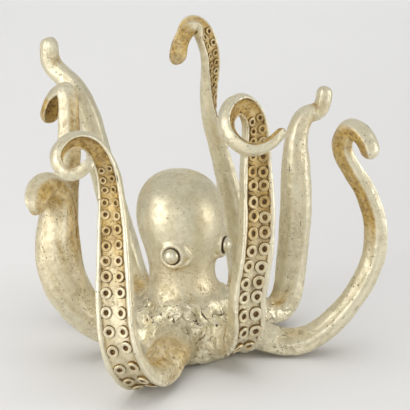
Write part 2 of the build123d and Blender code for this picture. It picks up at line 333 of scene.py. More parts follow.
@dataclass(frozen=True)
class LeafFinish(Finish):
    """Champagne metal leaf over cast resin, with an antique wash that stays in the hollows."""

    label: str = "champagne_leaf"
    bright: tuple = rgba(0.8, 0.745, 0.56)
    cream: tuple = rgba(0.83, 0.775, 0.6)
    # Colour of the painted highlights on crumpled foil
    foil_highlight: tuple = rgba(0.97, 0.895, 0.65)
    olive: tuple = rgba(0.45, 0.395, 0.22)
    ochre: tuple = rgba(0.62, 0.45, 0.2)
    gold: tuple = rgba(0.58, 0.4, 0.118)
    tan: tuple = rgba(0.29, 0.173, 0.048)
    brown: tuple = rgba(0.09, 0.044, 0.014)
    roughness: float = 0.4

    def paint(self, graph: Graph, shader: bpy.types.Node) -> None:
        """Leaf tones, wash in the hollows, rubbed edges with painted light on the body's lower front, painted
        highlights and shade on crumpled foil, pinholes and wrinkles.
        """
        wash = self.mask(graph, "wash")
        warm = self.mask(graph, "warm")
        rub = self.mask(graph, "rub")
        crumple = self.mask(graph, "crumple")
        age = self.mask(graph, "age")
        broad = self.clouds(graph, 48.0, 3.0, 0.6, 0.5)
        patchy = self.clouds(graph, 150.0, 4.0, 0.65, 0.6)
        mottle = self.clouds(graph, 420.0, 3.0, 0.65, 0.3)
        grit = self.clouds(graph, 1100.0, 2.0, 0.6)
        streak = self._streak(graph)
        folds = self._folds(graph)
        pits = self._pits(graph) * (0.4 + crumple * 0.6)
        specks = self._specks(graph) * (0.15 + crumple * 0.5 + warm * 0.9)
        creased = crumple * crumple * crumple
        tone = (broad * 0.25 + patchy * 0.3 + streak * 0.3 + grit * 0.15).ramp(0.4, 0.62)
        rusty = self.clouds(graph, 80.0, 4.0, 0.7, 0.8).ramp(0.5, 0.72)
        stain = (patchy * 0.35 + mottle * 0.45 + grit * 0.2).ramp(0.5, 0.66) * broad.ramp(0.4, 0.6)
        gilded = (warm * (0.5 + patchy * 0.7 + age * 0.4) + wash * 0.4).ramp(0.12, 1.05)
        grime = warm * (mottle * 0.6 + grit * 0.4).ramp(0.48, 0.66)
        soiled = (wash * (0.6 + mottle * 0.7) + grime * 0.5).ramp(0.4, 1.0).most(pits * 0.9)
        colour = graph.blend(tone * (0.4 + creased * 0.12), self.bright, self.olive)
        colour = graph.blend(rusty * (0.14 + crumple * 0.28), colour, self.ochre)
        dull = (patchy * 0.6 + mottle * 0.4).ramp(0.4, 0.62) * 0.8
        colour = graph.blend(gilded, colour, graph.blend(dull, self.gold, self.tan))
        colour = graph.blend((stain * (0.12 + crumple * 0.4 + warm * 0.3)).most(specks * 0.6), colour, self.tan)
        # Cream on rubbed proud edges, and painted light where the body's lower front is made paler
        colour = graph.blend(rub * (0.75 - stain * 0.5), colour, self.cream)
        foil = creased * creased
        # Painted highlights and shade on crumpled foil: pale patches stand for facets that catch the light, olive
        # patches for facets in shade
        glint_noise = self.clouds(graph, 125.0, 3.0, 0.6, 1.0)
        colour = graph.blend(foil * glint_noise.ramp(0.5, 0.56) * 0.85, colour, self.foil_highlight)
        colour = graph.blend(foil * (1.0 - glint_noise.ramp(0.41, 0.48)) * 0.8, colour, self.olive)
        cracks = (1.0 - folds.ramp(0.022, 0.06)) * patchy.ramp(0.42, 0.5)
        soiled = soiled.most((foil * 1.3 * cracks.most(self._marks(graph))).ramp(0.0, 1.0))
        colour = graph.blend(soiled, colour, self.brown)
        graph.feed(shader.inputs["Base Color"], colour)
        graph.feed(shader.inputs["Metallic"], 0.84 - soiled * 0.7 - gilded * 0.35 - stain * crumple * 0.25 - creased * 0.1)
        worn = self.roughness + tone * 0.1 + crumple * 0.06 - creased * 0.1
        graph.feed(shader.inputs["Roughness"], worn + soiled * 0.25 + gilded * 0.12)
        uneven = 0.19 + crumple * 0.42
        height = broad * 0.25 + (patchy * 0.65 + streak * 0.5 + mottle * 0.28 + grit * 0.12) * uneven
        height = height - folds * (creased * 1.6 + foil * 2.4) - pits * 0.35 - specks * 0.12
        self.bump(graph, shader, height, 0.0018, 0.95)

    def _pits(self, graph: Graph) -> Signal:
        """Dark pinholes, and dashes along the arms, that lie in scattered groups."""
        holes = 1.0 - self.cells(graph, 340.0).ramp(0.09, 0.21)
        dashes = 1.0 - self.cells(graph, 300.0, "F1", self._grain(graph)).ramp(0.07, 0.15)
        near = self.clouds(graph, 95.0, 2.0).ramp(0.48, 0.57)
        return (holes * near).most(dashes * self.clouds(graph, 60.0, 2.0).ramp(0.48, 0.55))

    def _marks(self, graph: Graph) -> Signal:
        """Dark marks between the folds of crumpled leaf, in groups."""
        spots = 1.0 - (self.cells(graph, 150.0) + self.clouds(graph, 500.0) * 0.24).ramp(0.22, 0.32)
        return spots * self.clouds(graph, 75.0, 2.0).ramp(0.46, 0.51)

    def _specks(self, graph: Graph) -> Signal:
        """Fine tan flecks where the leaf has worn, in wide patches."""
        flecks = 1.0 - self.cells(graph, 520.0).ramp(0.16, 0.42)
        return flecks * self.clouds(graph, 62.0, 3.0, 0.65).ramp(0.46, 0.62)

    def _folds(self, graph: Graph) -> Signal:
        """Depth below the sharp ridges of crumpled foil."""
        coarse = self.clouds(graph, 80.0, 1.0, 0.4, 0.8)
        fine = self.clouds(graph, 230.0, 1.0, 0.4, 0.5)
        return (coarse - 0.5).most(0.5 - coarse) + (fine - 0.5).most(0.5 - fine) * 0.35

    @staticmethod
    def _grain(graph: Graph) -> bpy.types.NodeSocket:
        """Places drawn out along the arms, which the mesh carries."""
        parts = {axis: Finish.mask(graph, f"grain_{axis.lower()}") for axis in "XYZ"}
        return graph.node("ShaderNodeCombineXYZ", None, parts).outputs[0]

    def _streak(self, graph: Graph) -> Signal:
        """Noise drawn out along the arms."""
        sockets = {"Vector": self._grain(graph), "Scale": 320.0, "Detail": 3.0, "Roughness": 0.6, "Distortion": 0.4}
        return graph.value(graph.node("ShaderNodeTexNoise", None, sockets), "Fac")


@dataclass(frozen=True)
class EyeFinish(Finish):
    """Burnished leaf on the eyes, dark where the dome meets its socket."""

    label: str = "burnished_leaf"
    bright: tuple = rgba(0.84, 0.79, 0.62)
    shade: tuple = rgba(0.66, 0.58, 0.38)
    brown: tuple = rgba(0.07, 0.035, 0.012)

    def paint(self, graph: Graph, shader: bpy.types.Node) -> None:
        """Smooth leaf with a soft wash at the edge."""
        tone = self.clouds(graph, 260.0, 3.0, 0.6)
        fine = self.clouds(graph, 1500.0, 2.0, 0.6)
        wash = self.mask(graph, "wash")
        soiled = (wash * (0.75 + tone * 0.5)).ramp(0.35, 0.95)
        colour = graph.blend(tone.ramp(0.4, 0.75) * 0.5, self.bright, self.shade)
        graph.feed(shader.inputs["Base Color"], graph.blend(soiled, colour, self.brown))
        graph.feed(shader.inputs["Metallic"], 0.92 - soiled * 0.8)
        graph.feed(shader.inputs["Roughness"], 0.33 + tone * 0.08 + soiled * 0.3)
        self.bump(graph, shader, tone * 0.6 + fine * 0.08, 0.0004, 0.4)


@dataclass(frozen=True)
class SteelFinish(Finish):
    """Turned steel of the dowels."""

    label: str = "turned_steel"
    light: tuple = rgba(0.62, 0.62, 0.63)
    dark: tuple = rgba(0.42, 0.42, 0.43)

    def paint(self, graph: Graph, shader: bpy.types.Node) -> None:
        """Fine drawn grain."""
        grain = self.clouds(graph, 2400.0, 3.0, 0.7, 0.3)
        graph.feed(shader.inputs["Base Color"], graph.blend(grain, self.light, self.dark))
        shader.inputs["Metallic"].default_value = 1.0
        graph.feed(shader.inputs["Roughness"], 0.3 + grain * 0.2)
        self.bump(graph, shader, grain, 0.0001, 0.4)


@dataclass(frozen=True)
class PlugFinish(Finish):
    """Unpainted cast resin of the pour plug."""

    label: str = "bare_cast_resin"
    light: tuple = rgba(0.66, 0.61, 0.52)
    dark: tuple = rgba(0.5, 0.45, 0.37)

    def paint(self, graph: Graph, shader: bpy.types.Node) -> None:
        """Chalky resin with small air holes."""
        chalk = self.clouds(graph, 300.0, 4.0, 0.6)
        holes = 1.0 - self.cells(graph, 400.0).ramp(0.06, 0.2)
        graph.feed(shader.inputs["Base Color"], graph.blend((chalk + holes).ramp(0.3, 1.0), self.light, self.dark))
        graph.feed(shader.inputs["Roughness"], 0.62 + chalk * 0.25)
        self.bump(graph, shader, chalk - holes * 0.7, 0.0004, 0.5)


@dataclass(frozen=True)
class FeltFinish(Finish):
    """Needled felt of the base."""

    label: str = "dark_felt"
    light: tuple = rgba(0.24, 0.22, 0.2)
    dark: tuple = rgba(0.1, 0.092, 0.085)

    def paint(self, graph: Graph, shader: bpy.types.Node) -> None:
        """Matted fibres."""
        fibre = self.clouds(graph, 1900.0, 4.0, 0.75, 2.0)
        clump = self.clouds(graph, 240.0, 2.0)
        graph.feed(shader.inputs["Base Color"], graph.blend(fibre * 0.7 + clump * 0.3, self.dark, self.light))
        graph.feed(shader.inputs["Roughness"], 0.85 + fibre * 0.15)
        self.bump(graph, shader, fibre + clump, 0.0004, 0.8)


@dataclass(frozen=True)
class FloorFinish(Finish):
    """Pale studio paper under and behind the figure."""

    label: str = "studio_paper"
    floor: tuple = rgba(0.71, 0.705, 0.697)
    # Floor colour with painted shade, used towards +X
    second: tuple = rgba(0.635, 0.632, 0.625)
    wall: tuple = rgba(0.85, 0.85, 0.85)

    def paint(self, graph: Graph, shader: bpy.types.Node) -> None:
        """Almost even paper, paler where it rises, with painted shade that darkens the floor towards +X."""
        drift = self.clouds(graph, 3.0, 2.0)
        split = graph.node("ShaderNodeSeparateXYZ", None, {0: self.place(graph)})
        far = graph.value(split, "Y").ramp(0.2, 1.8)
        # Painted shade: the floor turns darker towards +X
        colour = graph.blend(drift * 0.1 + graph.value(split, "X").ramp(-0.35, 0.5) * 0.9, self.floor, self.second)
        graph.feed(shader.inputs["Base Color"], graph.blend(far, colour, self.wall))
        shader.inputs["Roughness"].default_value = 0.75
        shader.inputs["Specular IOR Level"].default_value = 0.2


@dataclass
class Skin:
    """A mesh as arrays, with values that the finishes read at each point."""

    points: np.ndarray
    faces: list
    masks: dict[str, np.ndarray] = field(default_factory=dict)

    def joined(self, other: "Skin") -> "Skin":
        """This skin and another as one.

        Args:
            other: The skin to add.

        Returns:
            A new skin that holds both.
        """
        shift = len(self.points)
        names = set(self.masks) | set(other.masks)
        masks = {}
        for name in names:
            mine = self.masks.get(name, np.zeros(shift))
            theirs = other.masks.get(name, np.zeros(len(other.points)))
            masks[name] = np.concatenate((mine, theirs))
        faces = list(self.faces) + [tuple(i + shift for i in face) for face in other.faces]
        return Skin(np.concatenate((self.points, other.points)), faces, masks)

    def piece(self, name: str, finish: Finish) -> bpy.types.Object:
        """Makes the Blender object.

        Args:
            name: Name of the object.
            finish: Its finish.

        Returns:
            The object, linked to the scene, at the origin.
        """
        mesh = bpy.data.meshes.new(name)
        mesh.from_pydata(self.points.tolist(), [], self.faces)
        mesh.polygons.foreach_set("use_smooth", np.ones(len(mesh.polygons), bool))
        for label, values in self.masks.items():
            layer = mesh.attributes.new(label, "FLOAT", "POINT")
            layer.data.foreach_set("value", np.asarray(values, np.float32))
        mesh.materials.append(finish.material())
        mesh.update()
        made = bpy.data.objects.new(name, mesh)
        bpy.context.scene.collection.objects.link(made)
        return made

    @staticmethod
    def read(mesh: bpy.types.Mesh) -> "Skin":
        """A skin from a Blender mesh and its point values.

        Args:
            mesh: The mesh to read.

        Returns:
            The skin.
        """
        points = np.zeros(len(mesh.vertices) * 3)
        mesh.vertices.foreach_get("co", points)
        masks = {}
        for layer in mesh.attributes:
            if layer.domain == "POINT" and layer.data_type == "FLOAT":
                values = np.zeros(len(mesh.vertices))
                layer.data.foreach_get("value", values)
                masks[layer.name] = values
        faces = [tuple(face.vertices) for face in mesh.polygons]
        return Skin(points.reshape(-1, 3), faces, masks)

    def grained(self) -> "Skin":
        """This skin with its own places as the grain of its leaf."""
        for column, axis in enumerate("xyz"):
            self.masks[f"grain_{axis}"] = self.points[:, column].copy()
        return self

    def groups(self) -> list[np.ndarray]:
        """The faces as arrays, one for each number of corners."""
        sizes = np.array([len(face) for face in self.faces])
        return [np.array([self.faces[i] for i in np.flatnonzero(sizes == size)]) for size in np.unique(sizes)]

    def edges(self) -> np.ndarray:
        """Pairs of neighbouring points, each once."""
        pairs = [np.stack((part, np.roll(part, -1, axis=1)), axis=-1).reshape(-1, 2) for part in self.groups()]
        return np.unique(np.sort(np.concatenate(pairs), axis=1), axis=0)

    def relaxed(self, rounds: int) -> np.ndarray:
        """Points drawn halfway to the mean of their neighbours, again and again.

        Args:
            rounds: How many times.

        Returns:
            The moved points.
        """
        pairs = self.edges()
        here, there = np.concatenate((pairs, pairs[:, ::-1])).T
        count = np.maximum(np.bincount(here, minlength=len(self.points)), 1)[:, None]
        points = self.points.copy()
        for _ in range(rounds):
            sums = [np.bincount(here, points[there, k], len(points)) for k in range(3)]
            points = (points + np.stack(sums, axis=1) / count) / 2
        return points

    def normals(self) -> np.ndarray:
        """Unit directions out of the skin at each point."""
        total = np.zeros_like(self.points)
        for part in self.groups():
            a, b, c = (self.points[part[:, i]] for i in range(3))
            facing = np.repeat(np.cross(b - a, c - a), part.shape[1], axis=0)
            for k in range(3):
                total[:, k] += np.bincount(part.ravel(), facing[:, k], len(total))
        return total / np.maximum(np.linalg.norm(total, axis=1, keepdims=True), 1e-12)

    def hollows(self, rounds: int) -> np.ndarray:
        """How far each point lies below its smoothed surroundings, in metres."""
        return np.einsum("ij,ij->i", self.relaxed(rounds) - self.points, self.normals())


def swell(points: np.ndarray, scale: float, seed: float) -> np.ndarray:
    """Soft noise at each point.

    Args:
        points: Places in metres.
        scale: Waves per metre.
        seed: Shift that gives another pattern.

    Returns:
        Values around 0, within about -1 to 1.
    """
    shift = Vector((seed, seed * 0.7, -seed))
    return np.array([noise.noise(Vector(point) * scale + shift) for point in points])


def smooth_share(values: tuple, shares: np.ndarray) -> np.ndarray:
    """Values at shares of the way along evenly spaced values, on a smooth curve.

    Args:
        values: The evenly spaced values.
        shares: Places from 0 to 1.

    Returns:
        The values there.
    """
    padded = np.array((2 * values[0] - values[1], *values, 2 * values[-1] - values[-2]))
    place = np.clip(shares, 0.0, 1.0) * (len(values) - 1)
    low = np.minimum(place.astype(int), len(values) - 2)
    part = place - low
    a, b, c, d = (padded[low + i] for i in range(4))
    bend = a * (-part + 2 * part**2 - part**3) + b * (2 - 5 * part**2 + 3 * part**3)
    return (bend + c * (part + 4 * part**2 - 3 * part**3) + d * (part**3 - part**2)) / 2


@dataclass(frozen=True)
class ArmPlan:
    """An arm's route from the hub outwards, its width, thickness and turn, and the end of its suckers."""

    name: str
    route_shares: tuple
    width_shares: tuple
    thickness_share: float
    turn_degrees: tuple
    sucker_end_share: float
    # Painted shade with gold wash: the raised arm's side that faces this way is coloured gold-brown
    gold_and_shade_facing: tuple = (0.0, 0.0, 0.0)
    sucker_scale: float = 1.0
    gold_root: float = 0.12
    gold_tip_share: float = 2.0
    gold_all: float = 0.0


class Spline:
    """A natural cubic spline through points, over the run of the chords between them."""

    def __init__(self, points: np.ndarray) -> None:
        """Solves for the bend at each point."""
        self.points = np.asarray(points, float)
        self.gaps = np.linalg.norm(np.diff(self.points, axis=0), axis=1)
        self.length = float(self.gaps.sum())
        count = len(self.points)
        matrix = np.eye(count)
        target = np.zeros_like(self.points)
        slopes = np.diff(self.points, axis=0) / self.gaps[:, None]
        for i in range(1, count - 1):
            matrix[i, i - 1 : i + 2] = (self.gaps[i - 1], 2 * (self.gaps[i - 1] + self.gaps[i]), self.gaps[i])
            target[i] = 6 * (slopes[i] - slopes[i - 1])
        self.bends = np.linalg.solve(matrix, target)

    def at(self, shares: np.ndarray) -> tuple[np.ndarray, np.ndarray]:
        """Points and directions along the spline.

        Args:
            shares: Shares of its length.

        Returns:
            Points and unit directions.
        """
        starts = np.concatenate(((0.0,), np.cumsum(self.gaps)))
        run = np.asarray(shares) * self.length
        low = np.clip(np.searchsorted(starts, run, side="left") - 1, 0, len(self.gaps) - 1)
        gap = self.gaps[low][:, None]
        rest = (run - starts[low])[:, None]
        ahead = gap - rest
        start, end = self.points[low], self.points[low + 1]
        bend, next_bend = self.bends[low], self.bends[low + 1]
        point = (bend * ahead**3 + next_bend * rest**3) / (6 * gap)
        point = point + (start / gap - bend * gap / 6) * ahead + (end / gap - next_bend * gap / 6) * rest
        slope = (next_bend * rest**2 - bend * ahead**2) / (2 * gap)
        slope = slope + (end - start) / gap + (bend - next_bend) * gap / 6
        return point, slope / np.linalg.norm(slope, axis=1, keepdims=True)


class Route(Spline):
    """The middle line of an arm, with the sucker side carried along it and then turned."""

    steps: int = 240

    def __init__(self, plan: ArmPlan) -> None:
        """Lays the spline and carries the sucker side along it."""
        super().__init__(np.array(plan.route_shares) * REACH)
        self.plan = plan
        self.joint_share = float(self.gaps[0]) / self.length
        carried = []
        oral = np.array((0.0, 0.0, -1.0))
        for tangent in self.at(np.linspace(0.0, 1.0, self.steps + 1))[1]:
            oral = oral - tangent * oral.dot(tangent)
            oral = oral / np.linalg.norm(oral)
            carried.append(oral)
        self.carried = np.array(carried)

    def frames(self, shares: np.ndarray) -> tuple[np.ndarray, np.ndarray, np.ndarray, np.ndarray]:
        """Section frames along the route.

        Args:
            shares: Shares of the route's length.

        Returns:
            Middle points, directions along, across and towards the suckers.
        """
        points, along = self.at(shares)
        place = np.asarray(shares) * self.steps
        low = np.clip(place.astype(int), 0, self.steps - 1)
        part = (place - low)[:, None]
        oral = self.carried[low] * (1 - part) + self.carried[low + 1] * part
        oral = oral - along * np.einsum("ij,ij->i", oral, along)[:, None]
        oral = oral / np.linalg.norm(oral, axis=1, keepdims=True)
        turns = self.plan.turn_degrees
        turn = np.radians(np.interp(shares, np.linspace(0, 1, len(turns)), turns))[:, None]
        oral = oral * np.cos(turn) + np.cross(along, oral) * np.sin(turn)
        return points, along, np.cross(oral, along), oral

    def width(self, shares: np.ndarray) -> np.ndarray:
        """Arm widths at shares of the route."""
        return ARM_WIDTH * smooth_share(self.plan.width_shares, np.asarray(shares, float))

    def thickness(self, shares: np.ndarray) -> np.ndarray:
        """Arm thicknesses at shares of the route."""
        flat = smooth_share(THICKNESS_SHARES, np.asarray(shares, float)) * self.plan.thickness_share
        return ARM_THICKNESS * smooth_share(self.plan.width_shares, np.asarray(shares, float)) * flat

    def rings(self, shares: np.ndarray, scales: np.ndarray, outline: np.ndarray) -> np.ndarray:
        """Sections set along the route.

        Args:
            shares: Shares of the route's length.
            scales: Size of each section.
            outline: Shares across and towards the suckers of one section's points.

        Returns:
            Points by section and place in it.
        """
        middles, _, across, oral = self.frames(shares)
        wide = (self.width(shares) * scales)[:, None, None]
        thick = (self.thickness(shares) * scales)[:, None, None]
        return middles[:, None] + across[:, None] * outline[None, :, :1] * wide + oral[:, None] * outline[None, :, 1:] * thick


@dataclass
class SuckerTree:
    """Cupped rings with dark mouths, set on points by a node tree; sizes are shares of the arm's width."""

    around: int = 20
    seed: int = 7
    profile_shares: tuple = (
        (0.0, -0.05, 0.6, 0.8, 0.0),
        (0.2, -0.035, 0.6, 0.8, 0.0),
        (0.19, 0.004, 0.95, 0.8, 0.0),
        (0.183, 0.03, 0.6, 0.6, 0.0),
        (0.176, 0.052, 0.05, 0.35, 0.25),
        (0.166, 0.064, 0.0, 0.25, 0.4),
        (0.15, 0.066, 0.0, 0.3, 0.3),
        (0.125, 0.062, 0.0, 0.4, 0.2),
        (0.1, 0.06, 0.04, 0.4, 0.2),
        (0.086, 0.055, 0.3, 0.5, 0.1),
        (0.077, 0.04, 0.95, 0.8, 0.0),
        (0.068, 0.02, 0.97, 0.8, 0.0),
        (0.05, 0.01, 0.94, 0.8, 0.0),
        (0.0, 0.008, 0.88, 0.8, 0.0),
    )

    def pattern(self, finish: Finish) -> bpy.types.Object:
        """One sucker of unit arm width, turned from its profile.

        Args:
            finish: Its finish.

        Returns:
            The object that the tree repeats.
        """
        rows = np.array(self.profile_shares)
        turn = np.linspace(0, 2 * math.pi, self.around, endpoint=False)
        inner = rows[1:-1]
        x = inner[:, :1] * np.cos(turn)
        y = -inner[:, :1] * np.sin(turn)
        z = np.repeat(inner[:, 1:2], self.around, axis=1)
        ends = [(0.0, 0.0, rows[0, 1]), (0.0, 0.0, rows[-1, 1])]
        points = np.concatenate((np.stack((x, y, z), axis=-1).reshape(-1, 3), ends))
        masks = {}
        for column, name in ((2, "wash"), (3, "warm"), (4, "rub")):
            masks[name] = np.concatenate((np.repeat(inner[:, column], self.around), rows[[0, -1], column]))
        return Skin(points, ring_faces(len(inner), self.around), masks).piece("sucker_pattern", finish)

    def tree(self) -> bpy.types.NodeTree:
        """The node tree, made on first use.

        Returns:
            A geometry node group whose inputs are the pattern, the seed and the finish.
        """
        made = bpy.data.node_groups.get("sucker_rows")
        if made is not None:
            return made
        made = bpy.data.node_groups.new("sucker_rows", "GeometryNodeTree")
        face = made.interface
        face.new_socket("Geometry", in_out="INPUT", socket_type="NodeSocketGeometry")
        face.new_socket("Pattern", in_out="INPUT", socket_type="NodeSocketObject")
        face.new_socket("Seed", in_out="INPUT", socket_type="NodeSocketInt")
        face.new_socket("Finish", in_out="INPUT", socket_type="NodeSocketMaterial")
        face.new_socket("Geometry", in_out="OUTPUT", socket_type="NodeSocketGeometry")
        graph = Graph(made)
        given = graph.node("NodeGroupInput").outputs
        pattern = graph.node("GeometryNodeObjectInfo", None, {"Object": given["Pattern"]})
        width = self._named(graph, "arm_width", "FLOAT")
        facing = self._named(graph, "facing", "FLOAT_VECTOR")
        along = self._named(graph, "along", "FLOAT_VECTOR")
        upright = graph.node("FunctionNodeAlignRotationToVector", {"axis": "Z"}, {"Vector": facing})
        turned = graph.node(
            "FunctionNodeAlignRotationToVector",
            {"axis": "X", "pivot_axis": "Z"},
            {"Rotation": upright.outputs[0], "Vector": along},
        )
        uneven = graph.node(
            "FunctionNodeRandomValue",
            {"data_type": "FLOAT_VECTOR"},
            {"Min": (0.92, 0.88, 0.8), "Max": (1.06, 1.02, 1.2), "Seed": given["Seed"]},
        )
        size = graph.node(
            "ShaderNodeVectorMath", {"operation": "SCALE"}, {"Vector": uneven.outputs["Value"], "Scale": width}
        )
        placed = graph.node(
            "GeometryNodeInstanceOnPoints",
            None,
            {
                "Points": given["Geometry"],
                "Instance": pattern.outputs["Geometry"],
                "Rotation": turned.outputs[0],
                "Scale": size.outputs[0],
            },
        )
        chance = graph.node("FunctionNodeRandomValue", {"data_type": "FLOAT"}, {"Seed": given["Seed"]})
        aged = graph.node(
            "GeometryNodeStoreNamedAttribute",
            {"data_type": "FLOAT", "domain": "INSTANCE"},
            {"Geometry": placed.outputs[0], "Name": "age", "Value": graph.value(chance, "Value_001")},
        )
        whole = graph.node("GeometryNodeRealizeInstances", None, {"Geometry": aged.outputs[0]})
        dressed = graph.node(
            "GeometryNodeSetMaterial", None, {"Geometry": whole.outputs[0], "Material": given["Finish"]}
        )
        graph.node("NodeGroupOutput", None, {"Geometry": dressed.outputs[0]})
        return made

    @staticmethod
    def _named(graph: Graph, name: str, kind: str) -> bpy.types.NodeSocket:
        """A value that the points carry."""
        node = graph.node("GeometryNodeInputNamedAttribute", {"data_type": kind}, {"Name": name})
        return node.outputs["Attribute"]

    def grow(self, points: np.ndarray, facing: np.ndarray, along: np.ndarray, widths: np.ndarray, finish: Finish) -> Skin:
        """Sets suckers on points.

        Args:
            points: Seats of the suckers.
            facing: Directions out of the floor.
            along: Directions along the arm.
            widths: Arm widths there.
            finish: Finish of the suckers.

        Returns:
            All suckers as one skin.
        """
        mesh = bpy.data.meshes.new("sucker_seats")
        mesh.from_pydata(points.tolist(), [], [])
        mesh.attributes.new("arm_width", "FLOAT", "POINT").data.foreach_set("value", widths.astype(np.float32))
        for name, values in (("facing", facing), ("along", along)):
            layer = mesh.attributes.new(name, "FLOAT_VECTOR", "POINT")
            layer.data.foreach_set("vector", values.astype(np.float32).ravel())
        seats = bpy.data.objects.new("sucker_seats", mesh)
        bpy.context.scene.collection.objects.link(seats)
        pattern = self.pattern(finish)
        tree = self.tree()
        modifier = seats.modifiers.new("suckers", "NODES")
        modifier.node_group = tree
        inputs = {"Pattern": pattern, "Seed": self.seed, "Finish": finish.material()}
        for item in tree.interface.items_tree:
            if item.in_out == "INPUT" and item.name in inputs:
                modifier[item.identifier] = inputs[item.name]
        graph = bpy.context.evaluated_depsgraph_get()
        made = bpy.data.meshes.new_from_object(seats.evaluated_get(graph), depsgraph=graph)
        seats.modifiers.remove(modifier)
        skin = Skin.read(made)
        for spare in (seats, pattern):
            shape = spare.data
            bpy.data.objects.remove(spare)
            bpy.data.meshes.remove(shape)
        bpy.data.meshes.remove(made)
        return skin


@dataclass
class Arm:
    """One cast arm with its two rows of suckers."""

    plan: ArmPlan
    seed: int
    start_back: float = 3.0 * MM
    blend_run: float = 30.0 * MM
    sunk_scale: float = 0.93
    station_gap: float = 1.2 * MM
    section_count: int = 60
    tip_rings: int = 9
    row_share: float = 0.197
    tilt_share: float = 0.2
    pitch_share: float = 0.44
    floor_share: float = 0.275
    stray_share: float = 0.02

    def __post_init__(self) -> None:
        """Lays the route."""
        self.route = Route(self.plan)

    def section(self) -> tuple[np.ndarray, np.ndarray]:
        """The section's outline.

        Returns:
            Shares across and towards the suckers, evenly spaced around, and how much of each point is floor.
        """
        half = np.array(HALF_SECTION_SHARES)
        mirrored = half[1:-1][::-1] * (-1, 1)
        ring = np.concatenate((half, mirrored))
        dense = []
        for i in range(len(ring)):
            a, b, c, d = (ring[(i + k) % len(ring)] for k in (-1, 0, 1, 2))
            for t in np.linspace(0, 1, 12, endpoint=False):
                bend = a * (-t + 2 * t**2 - t**3) + b * (2 - 5 * t**2 + 3 * t**3)
                dense.append((bend + c * (t + 4 * t**2 - 3 * t**3) + d * (t**3 - t**2)) / 2)
        dense = np.array(dense + dense[:1])
        run = np.concatenate(((0,), np.cumsum(np.linalg.norm(np.diff(dense, axis=0), axis=1))))
        places = np.linspace(0, run[-1], self.section_count, endpoint=False)
        outline = np.stack([np.interp(places, run, dense[:, k]) for k in range(2)], axis=1)
        floor = np.clip((outline[:, 1] - 0.2) / 0.06, 0, 1) * np.clip((0.4 - np.abs(outline[:, 0])) / 0.05, 0, 1)
        return outline, floor

    def skin(self) -> Skin:
        """The arm without its suckers, closed at both ends.

        Returns:
            The skin with its wash, gold, painted shade and crumple.
        """
        route = self.route
        outline, floor = self.section()
        tip = float(route.width(np.array([1.0]))[0]) / 2 / route.length
        first = route.joint_share - self.start_back / route.length
        shares = np.linspace(first, 1 - tip, int((1 - tip - first) * route.length / self.station_gap))
        scales = self.sunk_scale + (1 - self.sunk_scale) * ease((shares - first) * route.length / self.blend_run)
        turn = np.linspace(0, math.pi / 2, self.tip_rings + 1)[1:-1]
        shares = np.concatenate((shares, 1 - tip + tip * np.sin(turn)))
        scales = np.concatenate((scales, np.cos(turn)))
        rings = route.rings(shares, scales, outline)
        points = np.concatenate((rings.reshape(-1, 3), route.at(np.array([first, 1.0]))[0]))
        skin = Skin(points, ring_faces(len(shares), self.section_count))
        streaks = self._streaks(shares, outline, floor)
        skin.points = points + skin.normals() * (lumps(points) + streaks)[:, None]
        inside = self._inside(shares, rings)
        rooted = 1 - ease((shares - route.joint_share) * route.length / (62 * MM))
        bedded = floor[None] * (0.4 + 0.6 * ease((rings[..., 2] - 60 * MM) / (70 * MM)))
        tipped = ease((shares - self.plan.gold_tip_share) / 0.03)[:, None] * 0.85
        raised = ease((rings[..., 2] - 15 * MM) / (50 * MM))
        warm = np.maximum(bedded, inside * 0.85).clip(np.maximum(tipped, self.plan.gold_all * raised), 1)
        warm = warm + (rooted * self.plan.gold_root)[:, None] * (1 - floor[None])
        ends = np.concatenate((np.repeat(tipped, self.section_count), (0, 0)))
        # Painted shade with gold wash on the side that faces the plan's direction, plus gold on the tips; it also
        # darkens the wash
        gold_and_shade = np.maximum(self._gold_and_shade_side(skin), ends)
        warm = np.clip(np.concatenate((warm.ravel(), (0, 0))) + gold_and_shade, 0, 1)
        hollow = skin.hollows(6) / (0.14 * MM)
        skin.masks = {
            "warm": warm,
            "wash": np.clip(hollow * 0.36 + warm * 0.12 + gold_and_shade * 0.25, 0, 1),
            "rub": np.clip(-hollow * 0.55 - 0.1, 0, 0.8) * (1 - 0.6 * warm),
            "crumple": np.concatenate((np.repeat(0.6 + 0.3 * rooted, self.section_count), (0.6, 0.6))),
        }
        wide, thick = route.width(shares), route.thickness(shares)
        grain = (np.outer(wide, outline[:, 0]), np.outer(thick, outline[:, 1]))
        grain += (np.repeat((shares * route.length / 6)[:, None], self.section_count, axis=1),)
        for axis, values in zip("xyz", grain):
            skin.masks[f"grain_{axis}"] = np.concatenate((values.ravel(), (0, 0)))
        return skin

    def _streaks(self, shares: np.ndarray, outline: np.ndarray, floor: np.ndarray) -> np.ndarray:
        """Shallow creases that run along the arm, off the sucker floor.

        Args:
            shares: Shares of the route's length.
            outline: The section's outline.
            floor: How much of each outline point is floor.

        Returns:
            Heights in metres for all points of the skin.
        """
        run = shares * self.route.length * 16.0
        places = np.empty((len(shares), len(outline), 3))
        places[..., :2] = outline[None] * 5.0
        places[..., 2] = run[:, None]
        heights = swell(places.reshape(-1, 3), 1.0, 3.0 * self.seed).reshape(len(shares), -1)
        heights = heights * (1 - floor[None] * 0.8) * (self.route.width(shares) / ARM_WIDTH)[:, None]
        heights = heights * (1 - 0.6 * ease((shares - 0.7) / 0.25))[:, None]
        return np.concatenate((heights.ravel(), (0, 0))) * 0.9 * MM

